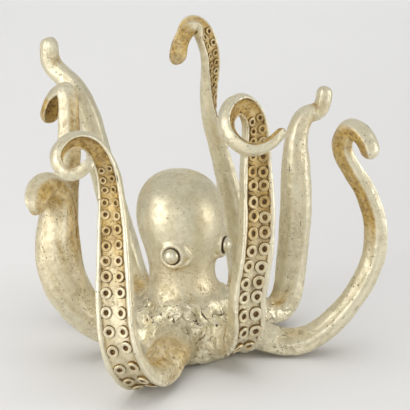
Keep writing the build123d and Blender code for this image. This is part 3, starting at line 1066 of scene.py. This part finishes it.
    def _inside(self, shares: np.ndarray, rings: np.ndarray) -> np.ndarray:
        """How far each point lies on the inner side of a tight curl.

        Args:
            shares: Shares of the route's length.
            rings: The skin's points by section.

        Returns:
            Values from 0 to 1 by section and place in it.
        """
        middles, along = self.route.at(shares)
        step = np.maximum(np.gradient(shares * self.route.length), 1e-6)[:, None]
        bend = np.gradient(along, axis=0) / step
        sharp = np.linalg.norm(bend, axis=1)
        inwards = bend / np.maximum(sharp, 1e-9)[:, None]
        spokes = rings - middles[:, None]
        spokes = spokes / np.maximum(np.linalg.norm(spokes, axis=2, keepdims=True), 1e-9)
        facing = np.clip(np.einsum("ijk,ik->ij", spokes, inwards) * 1.7 - 0.15, 0, 1)
        tight = np.clip((sharp * self.route.width(shares) - 0.25) / 0.6, 0, 1)
        tight = np.convolve(np.pad(tight, 6, mode="edge"), np.ones(13) / 13, "valid")
        return facing * tight[:, None]

    def _gold_and_shade_side(self, skin: Skin) -> np.ndarray:
        """How far each point of the raised part of the arm faces the given way; that side is coloured gold-brown,
        partly gold wash and partly painted shade.

        Args:
            skin: The arm's skin.

        Returns:
            Values from 0 to 1.
        """
        facing = skin.normals() @ np.array(self.plan.gold_and_shade_facing)
        return np.clip(facing * 2.2 - 1.05, 0, 1) * ease((skin.points[:, 2] - 60 * MM) / (50 * MM))

    def seats(self) -> tuple[np.ndarray, np.ndarray, np.ndarray, np.ndarray]:
        """Where the suckers stand, each a little off its place in the row.

        Returns:
            Points, directions out of the floor and along the arm, and arm widths.
        """
        shares = []
        share = self.route.joint_share
        while True:
            width = float(self.route.width(np.array([share]))[0])
            share += self.pitch_share * width / self.route.length
            if share >= self.plan.sucker_end_share:
                break
            shares.append(share)
        chance = np.random.default_rng(self.seed)
        rows = []
        for side in (-1, 1):
            stray = chance.uniform(-1, 1, (2, len(shares))) * self.stray_share
            widths = self.route.width(np.array(shares))
            places = np.array(shares) + stray[0] * 2 * widths / self.route.length
            middles, along, across, oral = self.route.frames(places)
            seat = oral * (self.floor_share * self.route.thickness(places))[:, None]
            seat = seat + across * ((side * self.row_share + stray[1]) * widths)[:, None]
            facing = oral - across * side * self.tilt_share
            facing = facing / np.linalg.norm(facing, axis=1, keepdims=True)
            rows.append((middles + seat, facing, along, widths * self.plan.sucker_scale))
        return tuple(np.concatenate(column) for column in zip(*rows))

    def build(self, finish: Finish, suckers: SuckerTree) -> bpy.types.Object:
        """Makes the arm's piece.

        Args:
            finish: Its finish.
            suckers: The tree that sets its suckers.

        Returns:
            The piece, riding on the root and standing for its node.
        """
        rings = suckers.grow(*self.seats(), finish).grained()
        raised = ease((rings.points[:, 2] - 60 * MM) / (70 * MM))
        rings.masks["warm"] = np.clip(rings.masks["warm"] + 0.4 * raised, 0, 1)
        rings.masks["rub"] = rings.masks["rub"] * (0.8 - 0.5 * raised)
        skin = boxed(self.skin().joined(rings))
        return fitted(skin.piece(f"{self.plan.name}_arm", finish), f"arm_{self.plan.name}")


@dataclass
class Body:
    """The hub, neck and mantle with the web and stubs that carry the arms, and the lids round the eyes."""

    plans: tuple
    height: float = 128.0 * MM
    radius: float = 31.5 * MM
    lean_left: float = 12.0 * MM
    lean_back: float = 13.0 * MM
    lift: float = 1.5 * MM
    voxel: float = 0.93 * MM
    stub_past_joint: float = 24.0 * MM
    stub_taper: float = 0.1
    web_height: float = 44.0 * MM
    web_reach_share: float = 0.86
    web_edge_shares: tuple = (1.14, 0.86, 0.9, 0.86, 0.84, 0.86, 0.9, 1.1)
    web_profile_shares: tuple = (
        (0.05, 0.88),
        (0.1, 0.97),
        (0.2, 1.0),
        (0.34, 0.99),
        (0.5, 0.94),
        (0.66, 0.86),
        (0.84, 0.74),
        (1.0, 0.6),
    )
    belly_place: tuple = (-6.0 * MM, -22.0 * MM, 29.0 * MM)
    belly_radius: float = 14.0 * MM
    eye_height: float = 77.0 * MM
    eye_reach: float = 29.0 * MM
    gaze_limit: float = 66.0
    mound_radius: float = 14.0 * MM
    lid_radius: float = 7.7 * MM
    socket_radius: float = 6.15 * MM
    section_shares: tuple = (
        (0.0, 1.0, 1.0, 0.0, 0.0),
        (0.13, 0.98, 0.98, 0.1, 0.0),
        (0.27, 0.89, 0.86, 0.42, 0.05),
        (0.41, 0.76, 0.76, 0.75, 0.23),
        (0.52, 0.79, 0.79, 0.83, 0.4),
        (0.645, 0.94, 0.92, 0.85, 0.55),
        (0.77, 1.0, 0.985, 0.9, 0.7),
        (0.875, 0.9, 0.9, 0.93, 0.85),
        (0.945, 0.68, 0.68, 0.97, 0.95),
        (0.985, 0.38, 0.38, 1.0, 1.0),
        (1.0, 0.1, 0.1, 1.0, 1.0),
    )

    def eye_place(self, side: Side) -> tuple[np.ndarray, np.ndarray, np.ndarray, np.ndarray]:
        """Where an eye sits.

        Args:
            side: Which eye.

        Returns:
            The middle of its girdle, and its directions out, towards the middle of the face and up.
        """
        turn = math.radians(side.value)
        rise = (self.eye_height - self.lift) / self.height
        middle = np.array((-self.lean_left * rise, self.lean_back * rise / 2, self.eye_height))
        seat = middle + np.array((math.sin(turn), -math.cos(turn), 0.0)) * self.eye_reach
        gaze = math.radians(min(side.value, self.gaze_limit))
        out = np.array((math.sin(gaze), -math.cos(gaze), 0.0))
        inwards = np.array((math.cos(gaze), math.sin(gaze), 0.0)) * (1 if side is Side.LEFT else -1)
        return seat, out, inwards, np.array((0.0, 0.0, 1.0))

    def head(self) -> Skin:
        """The lofted hub, neck and mantle.

        Returns:
            A closed skin.
        """
        size = (self.height, self.radius, self.radius, self.lean_left, self.lean_back)
        lines = Spline(np.array(self.section_shares) * size).at(np.linspace(0, 1, 96))[0]
        high, wide, deep, left, back = lines.T[:, :, None]
        around = 80
        turn = np.linspace(0, 2 * math.pi, around, endpoint=False)
        rings = np.stack(
            (wide * np.cos(turn) - left, back - deep * np.sin(turn), np.repeat(self.lift + high, around, axis=1)), axis=-1
        )
        ends = rings[[0, -1]].mean(axis=1)
        return Skin(np.concatenate((rings.reshape(-1, 3), ends)), ring_faces(len(lines), around))

    def web(self) -> Skin:
        """The skin that spreads from the neck to the stubs.

        Returns:
            A closed skin.
        """
        corners = []
        for plan in self.plans:
            route = Route(plan)
            corners.append(route.at(np.array([route.joint_share * self.web_reach_share]))[0][0, :2])
        outline = []
        for here, there, bow in zip(corners, corners[1:] + corners[:1], self.web_edge_shares):
            control = (here + there) * (bow - 0.5)
            for t in np.linspace(0, 1, 14, endpoint=False):
                outline.append(here * (1 - t) ** 2 + control * 2 * t * (1 - t) + there * t**2)
        outline = np.array(outline)
        profile = np.array(self.web_profile_shares)
        rings = np.empty((len(profile), len(outline), 3))
        rings[..., :2] = outline[None] * profile[:, 1, None, None]
        rings[..., 2] = profile[:, :1] * self.web_height
        ends = rings[[0, -1]].mean(axis=1)
        return Skin(np.concatenate((rings.reshape(-1, 3), ends)), ring_faces(len(profile), len(outline)))

    def stub(self, plan: ArmPlan) -> Skin:
        """A stub that carries an arm and thins out inside it.

        Args:
            plan: The arm's plan.

        Returns:
            A closed skin.
        """
        arm = Arm(plan, 0, section_count=44)
        route = arm.route
        last = route.joint_share + self.stub_past_joint / route.length
        shares = np.linspace(0.0, last, 40)
        past = (shares - route.joint_share) * route.length / self.stub_past_joint
        rings = route.rings(shares, 1 - self.stub_taper * ease(past), arm.section()[0])
        ends = route.at(shares[[0, -1]])[0]
        return Skin(np.concatenate((rings.reshape(-1, 3), ends)), ring_faces(len(shares), 44))

    def mound(self, side: Side) -> Skin:
        """The swelling under an eye with its lid ring and the folds that meet in the eye's inner corner.

        Args:
            side: Which eye.

        Returns:
            A closed skin of the swelling, the lid and the folds.
        """
        seat, out, inwards, up = self.eye_place(side)
        whole = ball(seat - out * self.mound_radius, self.mound_radius)
        turn = np.linspace(0, 2 * math.pi, 49)
        lid = np.stack((np.cos(turn) * self.lid_radius, np.sin(turn) * self.lid_radius * 1.04 - 0.4 * MM), axis=1)
        upper = np.array(((-5.5, 7.5), (-1.0, 9.4), (4.5, 8.6), (9.5, 3.8), (13.5, -3.2))) * MM
        lower = np.array(((4.5, -8.0), (8.5, -7.2), (11.5, -5.0), (13.5, -3.2))) * MM
        lines = ((lid, 1.65, 1.65, 1.9), (Spline(upper).at(np.linspace(0, 1, 24))[0], 1.7, 1.0, 2.9))
        lines += ((Spline(lower).at(np.linspace(0, 1, 20))[0], 1.6, 1.0, 3.0),)
        for flat, thick, thin, drop in lines:
            sunk = drop * MM + np.maximum((flat**2).sum(axis=1) - self.lid_radius**2, 0) / (54 * MM)
            line = seat + inwards * flat[:, :1] + up * flat[:, 1:] - out * sunk[:, None]
            whole = whole.joined(tube(line, np.linspace(thick, thin, len(line)) * MM))
        return whole

    def skin(self) -> Skin:
        """Everything of the body grown together.

        Returns:
            The skin with its wash, gold, rubbed edges with painted light on its lower front, and crumple.
        """
        whole = self.head().joined(self.web())
        for plan in self.plans:
            whole = whole.joined(self.stub(plan))
        for side in Side:
            whole = whole.joined(self.mound(side))
        whole = whole.joined(ball(np.array(self.belly_place), self.belly_radius))
        skin = self._grown(whole)
        near_eye = np.zeros(len(skin.points))
        for side in Side:
            distance = np.linalg.norm(skin.points - self.eye_place(side)[0], axis=1)
            near_eye = np.maximum(near_eye, 1 - ease((distance - 13 * MM) / (6 * MM)))
        for _ in range(5):
            smooth = skin.relaxed(40)
            sunk = np.einsum("ij,ij->i", smooth - skin.points, skin.normals())
            share = (0.12 + 0.88 * ease(sunk / (0.25 * MM))) * (1 - near_eye)
            skin.points = skin.points + (smooth - skin.points) * share[:, None]
        skin.points = skin.relaxed(6)
        self._carve_eyes(skin)
        points = skin.points
        front = 1 - ease((points[:, 2] - 34 * MM) / (26 * MM))
        creases = 1.7 - np.abs(swell(points, 44.0, 4.0)) * 2.8 - np.abs(swell(points, 100.0, 6.0)) * 1.6
        hub = 1 - ease((np.hypot(points[:, 0], points[:, 1]) - 34 * MM) / (18 * MM))
        heights = lumps(points) * (0.35 + 0.65 * front)
        heights = heights + (creases * 1.5 + swell(points, 330.0, 9.0) * 0.2) * MM * front * hub
        skin.points = points + skin.normals() * (heights * (1 - 0.85 * near_eye))[:, None]
        hollow = skin.hollows(8) / (0.2 * MM)
        deep = np.clip(skin.hollows(40) / (0.9 * MM), 0, 1)
        neck = ease((points[:, 2] - 40 * MM) / (12 * MM)) * (1 - ease((points[:, 2] - 64 * MM) / (16 * MM)))
        foot = ease((-points[:, 1] - 36 * MM) / (20 * MM))
        skin.masks = {
            "wash": np.clip(hollow * 0.32 + deep * 0.2, 0, 1).clip(self._grooves(points), 1),
            "warm": np.clip(deep * 0.35 + front * 0.05 + neck * 0.42 + foot * 0.85, 0, 1),
            # Painted light: the lower front is made paler cream, on top of the rub on proud edges
            "rub": np.clip(-hollow * 0.45 - 0.15 + front * 0.65, 0, 0.85) * (1 - foot * 0.8),
            "crumple": 0.1 + (0.64 + 0.24 * hub) * front + 0.12 * neck,
        }
        return skin.grained()

    def _grooves(self, points: np.ndarray) -> np.ndarray:
        """How dark the groove round each eye is, most below it.

        Args:
            points: Points of the body.

        Returns:
            Values from 0 to 1.
        """
        dark = np.zeros(len(points))
        for side in Side:
            seat, out, inwards, up = self.eye_place(side)
            offset = points - seat + up * 0.4 * MM
            flat = np.hypot(offset @ inwards, offset @ up)
            sunk = (np.abs(offset @ out) < 5 * MM) * (1 - ease((flat - self.socket_radius) / (0.7 * MM)))
            dark = np.maximum(dark, sunk * (0.68 - 0.4 * (offset @ up) / np.maximum(flat, MM)))
        return np.clip(dark, 0, 1)

    def _grown(self, whole: Skin) -> Skin:
        """One skin round all that overlaps.

        Args:
            whole: The overlapping skins.

        Returns:
            An even skin round them.
        """
        raw = whole.piece("body_raw", LeafFinish())
        modifier = raw.modifiers.new("grow", "REMESH")
        modifier.mode = "VOXEL"
        modifier.voxel_size = self.voxel
        graph = bpy.context.evaluated_depsgraph_get()
        mesh = bpy.data.meshes.new_from_object(raw.evaluated_get(graph), depsgraph=graph)
        raw.modifiers.remove(modifier)
        skin = Skin.read(mesh)
        bpy.data.objects.remove(raw)
        bpy.data.meshes.remove(mesh)
        return Skin(skin.points, skin.faces)

    def _carve_eyes(self, skin: Skin) -> None:
        """Sinks the socket round each eye.

        Args:
            skin: The body's skin, which is changed.
        """
        for side in Side:
            seat, out, inwards, up = self.eye_place(side)
            offset = skin.points - seat + up * 0.4 * MM
            flat = np.hypot(offset @ inwards, offset @ up)
            near = (np.abs(offset @ out) < 8 * MM) & (flat < self.socket_radius)
            depth = (offset @ out) + 1.9 * MM
            skin.points[near] -= out * np.maximum(depth[near], 0)[:, None]

    def build(self, finish: Finish) -> bpy.types.Object:
        """Makes the body's piece.

        Args:
            finish: Its finish.

        Returns:
            The piece, riding on the root and standing for its node.
        """
        return fitted(boxed(self.skin()).piece("body_casting", finish), "body")


@dataclass
class Eye:
    """A domed eye set in its socket."""

    side: Side
    diameter: float = 10.7 * MM
    dome: float = 4.3 * MM
    sink: float = 2.5 * MM
    around: int = 40
    rings: int = 16

    def build(self, body: Body, finish: Finish) -> bpy.types.Object:
        """Makes the eye's piece.

        Args:
            body: The body that carries it.
            finish: Its finish.

        Returns:
            The piece, riding on the root and standing for its node.
        """
        seat, out, inwards, up = body.eye_place(self.side)
        turn = np.linspace(0, math.pi / 2, self.rings)[:-1]
        radius = np.concatenate(((self.diameter / 2 * 0.9,), self.diameter / 2 * np.cos(turn)))
        height = np.concatenate(((-self.sink,), self.dome * np.sin(turn)))
        angle = np.linspace(0, 2 * math.pi, self.around, endpoint=False)
        sideways = np.cross(out, up)
        spokes = sideways * np.cos(angle)[:, None] + up * np.sin(angle)[:, None]
        points = seat + spokes[None] * radius[:, None, None] + out * height[:, None, None]
        points = np.concatenate((points.reshape(-1, 3), [seat - out * self.sink, seat + out * self.dome]))
        wash = np.repeat(np.clip(1 - height / (1.0 * MM), 0, 1), self.around)
        masks = {"wash": np.concatenate((wash, (1.0, 0.0)))}
        skin = Skin(points, ring_faces(len(radius), self.around), masks)
        name = self.side.name.lower()
        return fitted(skin.piece(f"{name}_eye", finish), f"eye_{name}")


def ring_faces(rings: int, around: int) -> list:
    """Quads between rings of points and a fan at each end.

    Args:
        rings: Number of rings; the two end points follow them.
        around: Points in each ring.

    Returns:
        The faces; they look outwards where a ring turns clockwise, seen against the way that the rings follow.
    """
    faces = []
    for i in range(rings - 1):
        for k in range(around):
            j = (k + 1) % around
            faces.append((i * around + k, (i + 1) * around + k, (i + 1) * around + j, i * around + j))
    for k in range(around):
        j = (k + 1) % around
        faces.append((rings * around, k, j))
        faces.append((rings * around + 1, (rings - 1) * around + j, (rings - 1) * around + k))
    return faces


def ease(values: np.ndarray) -> np.ndarray:
    """A smooth step from 0 at 0 to 1 at 1."""
    kept = np.clip(values, 0, 1)
    return kept * kept * (3 - 2 * kept)


def lumps(points: np.ndarray) -> np.ndarray:
    """Uneven heights of the casting, the same for all pieces that meet.

    Args:
        points: Places in metres.

    Returns:
        Heights in metres, mostly below 0.
    """
    return (swell(points, 75.0, 2.0) * 0.7 + swell(points, 190.0, 5.0) * 0.3 - 0.4) * 0.6 * MM


def ball(middle: np.ndarray, radius: float) -> Skin:
    """A closed ball.

    Args:
        middle: Its middle.
        radius: Its radius.

    Returns:
        The skin.
    """
    turn = np.linspace(-math.pi / 2, math.pi / 2, 21)[1:-1]
    line = middle + np.array((0, 0, 1.0)) * (np.sin(turn) * radius)[:, None]
    return tube(line, np.cos(turn) * radius, 24)


def tube(line: np.ndarray, girth: np.ndarray, around: int = 16) -> Skin:
    """A closed tube along a line.

    Args:
        line: Points of its middle.
        girth: Radius at each point.
        around: Points in each ring.

    Returns:
        The skin.
    """
    along = np.gradient(line, axis=0)
    along = along / np.linalg.norm(along, axis=1, keepdims=True)
    guide = np.array((0.31, 0.87, 0.38))
    first = guide - along * (along @ guide)[:, None]
    first = first / np.linalg.norm(first, axis=1, keepdims=True)
    second = np.cross(first, along)
    angle = np.linspace(0, 2 * math.pi, around, endpoint=False)
    spokes = first[:, None] * np.cos(angle)[None, :, None] + second[:, None] * np.sin(angle)[None, :, None]
    points = (line[:, None] + spokes * np.asarray(girth)[:, None, None]).reshape(-1, 3)
    return Skin(np.concatenate((points, line[:1], line[-1:])), ring_faces(len(line), around))


def boxed(skin: Skin) -> Skin:
    """Keeps a skin inside the box of the solids.

    Args:
        skin: The skin, which is changed.

    Returns:
        The same skin.
    """
    low, high = CAD_BOX
    skin.points = np.clip(skin.points, np.array(low) + 0.02 * MM, np.array(high) - 0.02 * MM)
    return skin


def fitted(piece: bpy.types.Object, node: str) -> bpy.types.Object:
    """Ties a piece to the frame.

    Args:
        piece: The piece.
        node: The node that it stands for.

    Returns:
        The piece.
    """
    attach(piece, "root")
    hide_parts(node)
    LOG.info("%s: %d faces", piece.name, len(piece.data.polygons))
    return piece


@dataclass
class Studio:
    """Paper sweep, lamps, sky and camera."""

    target: tuple = (0.007, 0.0, 0.1072)
    distance: float = 0.95
    elevation: float = 17.0
    focal_pixels: float = 1349.0
    frame_pixels: float = 410.0

    def sweep(self) -> bpy.types.Object:
        """The floor with its curved rise behind.

        Returns:
            The sweep, marked as stage.
        """
        half, front, back, bend, top = 3.0, -2.2, 1.5, 0.7, 2.4
        turn = np.linspace(0, math.pi / 2, 20)
        line = [(front, 0.0)]
        line += [(back + bend * math.sin(t), bend * (1 - math.cos(t))) for t in turn]
        line.append((back + bend, top))
        points = [(side * half, y, z) for y, z in line for side in (-1, 1)]
        faces = [(2 * i, 2 * i + 1, 2 * i + 3, 2 * i + 2) for i in range(len(line) - 1)]
        made = Skin(np.array(points), faces).piece("studio_sweep", FloorFinish())
        made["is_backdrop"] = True
        return made

    def lamp(self, name: str, place: tuple, size: float, power: float, tint: tuple) -> bpy.types.Object:
        """An area lamp that faces the figure.

        Args:
            name: Name of the lamp.
            place: Where it hangs.
            size: Edge length in metres.
            power: Watts.
            tint: Colour.

        Returns:
            The lamp.
        """
        data = bpy.data.lights.new(name, "AREA")
        data.shape = "DISK"
        data.size = size
        data.energy = power
        data.color = tint
        made = bpy.data.objects.new(name, data)
        bpy.context.scene.collection.objects.link(made)
        made.location = place
        aim = Vector(self.target) - Vector(place)
        made.rotation_euler = aim.to_track_quat("-Z", "Y").to_euler()
        return made

    def sky(self) -> None:
        """An even surround, a little brighter from above."""
        world = bpy.data.worlds.new("studio")
        bpy.context.scene.world = world
        world.use_nodes = True
        graph = Graph(world.node_tree)
        place = graph.node("ShaderNodeTexCoord").outputs["Generated"]
        split = graph.node("ShaderNodeSeparateXYZ", None, {0: place})
        light = 0.34 + graph.value(split, "Z").ramp(-0.1, 0.9) * 0.24
        tone = graph.node("ShaderNodeBackground", None, {"Color": rgba(1.0, 0.995, 0.985), "Strength": light})
        graph.node("ShaderNodeOutputWorld", None, {"Surface": tone.outputs[0]})

    def camera(self) -> None:
        """The camera at the photograph's angle."""
        data = bpy.data.cameras.new("photo_camera")
        data.sensor_fit = "HORIZONTAL"
        data.angle = 2 * math.atan(self.frame_pixels / 2 / self.focal_pixels)
        data.clip_end = 20.0
        made = bpy.data.objects.new("photo_camera", data)
        bpy.context.scene.collection.objects.link(made)
        tilt = math.radians(self.elevation)
        back = Vector((0.0, -math.cos(tilt), math.sin(tilt)))
        made.location = Vector(self.target) + back * self.distance
        made.rotation_euler = (-back).to_track_quat("-Z", "Y").to_euler()
        bpy.context.scene.camera = made

    def build(self) -> None:
        """Sets up everything round the figure."""
        self.sweep()
        self.sky()
        self.lamp("key", (-1.1, -0.85, 0.5), 1.3, 11.7, (1.0, 0.985, 0.96))
        self.lamp("fill", (1.35, -0.28, 0.36), 0.7, 6.5, (1.0, 0.99, 0.98))
        self.lamp("front", (-0.12, -1.5, 0.45), 1.2, 3.0, (1.0, 0.995, 0.98))
        self.lamp("top", (0.0, 0.35, 2.0), 2.8, 25.0, (1.0, 1.0, 1.0)).visible_glossy = False
        self.camera()
        bpy.context.scene.view_settings.view_transform = "Standard"


ARM_PLANS = (
    ArmPlan(
        "front_left",
        (
            (-0.04, -0.18, 0.09),
            (-0.145, -0.50, 0.072),
            (-0.255, -0.86, 0.062),
            (-0.34, -1.0, 0.144),
            (-0.386, -0.955, 0.30),
            (-0.392, -0.85, 0.435),
            (-0.404, -0.755, 0.585),
            (-0.438, -0.74, 0.69),
            (-0.525, -0.80, 0.76),
            (-0.625, -0.90, 0.76),
            (-0.655, -0.97, 0.723),
            (-0.592, -1.01, 0.687),
            (-0.48, -1.0, 0.725),
        ),
        (0.98, 0.94, 0.89, 0.84, 0.8, 0.76, 0.66, 0.52, 0.41, 0.35, 0.25),
        1.0,
        (0.0, 5.0, 10.0, 16.0, 22.0, 22.0, 22.0, 19.0, 16.0, 20.0, 34.0, 32.0, 22.0),
        0.75,
        (0.15, 0.15, -0.1),
        0.86,
        0.95,
    ),
    ArmPlan(
        "left",
        (
            (-0.14, -0.05, 0.09),
            (-0.345, -0.10, 0.075),
            (-0.50, -0.16, 0.098),
            (-0.635, -0.22, 0.185),
            (-0.705, -0.25, 0.312),
            (-0.715, -0.24, 0.435),
            (-0.718, -0.22, 0.518),
            (-0.77, -0.30, 0.557),
            (-0.818, -0.40, 0.545),
            (-0.808, -0.48, 0.50),
        ),
        (0.92, 0.88, 0.83, 0.84, 0.94, 1.07, 1.04, 0.9, 0.7, 0.58, 0.5),
        1.14,
        (0.0, -6.0, -20.0, -50.0, -75.0, -75.0, -75.0),
        0.72,
        (0.8, -0.5, -0.1),
        1.0,
        0.12,
        2.0,
        0.5,
    ),
    ArmPlan(
        "back_left",
        (
            (-0.125, 0.09, 0.09),
            (-0.325, 0.22, 0.074),
            (-0.60, 0.42, 0.065),
            (-0.728, 0.50, 0.20),
            (-0.745, 0.54, 0.35),
            (-0.72, 0.54, 0.52),
            (-0.707, 0.56, 0.68),
            (-0.735, 0.62, 0.764),
            (-0.80, 0.68, 0.735),
            (-0.85, 0.66, 0.655),
        ),
        (0.74, 0.72, 0.74, 0.78, 0.82, 0.8, 0.75, 0.68, 0.55, 0.48, 0.46),
        1.0,
        (0.0, 0.0),
        0.80,
        (0.75, -0.35, 0.0),
        1.0,
        0.12,
        0.92,
        0.36,
    ),
    ArmPlan(
        "back_left_tall",
        (
            (-0.07, 0.16, 0.09),
            (-0.185, 0.43, 0.074),
            (-0.315, 0.70, 0.072),
            (-0.42, 0.82, 0.224),
            (-0.505, 0.86, 0.395),
            (-0.575, 0.86, 0.567),
            (-0.65, 0.88, 0.707),
            (-0.742, 0.92, 0.777),
            (-0.826, 0.96, 0.822),
            (-0.834, 0.95, 0.912),
        ),
        (0.72, 0.7, 0.72, 0.74, 0.73, 0.7, 0.67, 0.6, 0.53, 0.49, 0.46),
        1.0,
        (0.0, 0.0),
        0.78,
    ),
    ArmPlan(
        "back",
        (
            (0.03, 0.18, 0.09),
            (0.092, 0.46, 0.074),
            (0.255, 0.74, 0.068),
            (0.24, 0.82, 0.224),
            (0.19, 0.82, 0.40),
            (0.13, 0.78, 0.56),
            (0.08, 0.72, 0.70),
            (0.078, 0.66, 0.82),
            (0.062, 0.60, 0.915),
            (-0.012, 0.55, 0.98),
            (-0.072, 0.50, 0.95),
            (-0.098, 0.48, 0.86),
        ),
        (0.8, 0.78, 0.78, 0.75, 0.7, 0.64, 0.58, 0.53, 0.5, 0.49, 0.47),
        1.0,
        (0.0, 0.0, 0.0, 0.0, 0.0, -2.0, -8.0, -20.0, -35.0, -50.0, -73.0, -94.0, -96.0, 0.0, 14.0),
        0.88,
        (0.0, 0.0, 0.0),
        1.0,
        0.12,
        0.9,
    ),
    ArmPlan(
        "back_right",
        (
            (0.125, 0.11, 0.09),
            (0.30, 0.29, 0.074),
            (0.47, 0.42, 0.06),
            (0.545, 0.48, 0.205),
            (0.567, 0.46, 0.38),
            (0.56, 0.46, 0.545),
            (0.578, 0.48, 0.66),
            (0.634, 0.51, 0.704),
            (0.69, 0.535, 0.712),
            (0.714, 0.54, 0.744),
            (0.72, 0.54, 0.788),
        ),
        (0.8, 0.77, 0.75, 0.74, 0.74, 0.74, 0.73, 0.67, 0.53, 0.42, 0.35),
        1.0,
        (0.0, 0.0, 16.0, 42.0, 44.0, 44.0, 44.0, 40.0),
        0.86,
        (0.0, 0.0, 0.0),
    ),
    ArmPlan(
        "right",
        (
            (0.14, -0.05, 0.09),
            (0.355, -0.11, 0.06),
            (0.54, -0.125, 0.042),
            (0.70, -0.12, 0.082),
            (0.87, -0.11, 0.196),
            (0.963, -0.10, 0.325),
            (0.947, -0.09, 0.47),
            (0.825, -0.11, 0.603),
            (0.772, -0.13, 0.682),
            (0.812, -0.18, 0.725),
            (0.878, -0.25, 0.705),
            (0.915, -0.30, 0.645),
        ),
        (0.84, 0.79, 0.73, 0.69, 0.66, 0.66, 0.65, 0.6, 0.54, 0.47, 0.4),
        1.0,
        (0.0, 5.0, 10.0, 12.0, 15.0),
        0.72,
        (-1.15, -0.5, -0.1),
    ),
    ArmPlan(
        "front_right",
        (
            (0.085, -0.15, 0.098),
            (0.185, -0.345, 0.076),
            (0.243, -0.43, 0.115),
            (0.262, -0.465, 0.225),
            (0.298, -0.45, 0.36),
            (0.313, -0.38, 0.51),
            (0.307, -0.32, 0.667),
            (0.285, -0.33, 0.787),
            (0.22, -0.42, 0.825),
            (0.16, -0.52, 0.79),
            (0.198, -0.59, 0.738),
            (0.288, -0.61, 0.712),
            (0.378, -0.58, 0.726),
            (0.455, -0.53, 0.762),
        ),
        (0.84, 0.82, 0.8, 0.78, 0.77, 0.74, 0.64, 0.51, 0.4, 0.31, 0.22),
        1.2,
        (0.0, -8.0, -16.0, -17.0, -17.0, -12.0, -10.0, -10.0),
        0.70,
    ),
)


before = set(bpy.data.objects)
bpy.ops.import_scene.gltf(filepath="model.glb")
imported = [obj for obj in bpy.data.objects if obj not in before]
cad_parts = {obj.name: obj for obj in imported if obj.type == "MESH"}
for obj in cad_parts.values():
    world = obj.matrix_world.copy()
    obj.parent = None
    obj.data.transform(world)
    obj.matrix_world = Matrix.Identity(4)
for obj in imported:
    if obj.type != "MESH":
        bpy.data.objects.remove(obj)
CAD_BOX = [[float(x) for x in corner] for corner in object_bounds()]


def dress_hidden() -> None:
    """Gives the dowels, the plug and the felt their finishes."""
    finishes = {"pin_": SteelFinish(), "pour_plug": PlugFinish(), "felt_base": FeltFinish()}
    for name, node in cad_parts.items():
        for start, finish in finishes.items():
            if name.startswith(start):
                node.data.materials.clear()
                node.data.materials.append(finish.material())
                LOG.info("%s: %s", name, finish.label)


def main() -> None:
    """Builds the figure piece by piece and the studio round it."""
    logging.basicConfig(level=logging.INFO, format="%(message)s")
    leaf = LeafFinish()
    suckers = SuckerTree()
    body = Body(ARM_PLANS)
    body.build(leaf)
    for number, plan in enumerate(ARM_PLANS):
        Arm(plan, 11 + 7 * number).build(leaf, suckers)
    for side in Side:
        Eye(side).build(body, EyeFinish())
    dress_hidden()
    Studio().build()


if __name__ == "__main__":
    main()
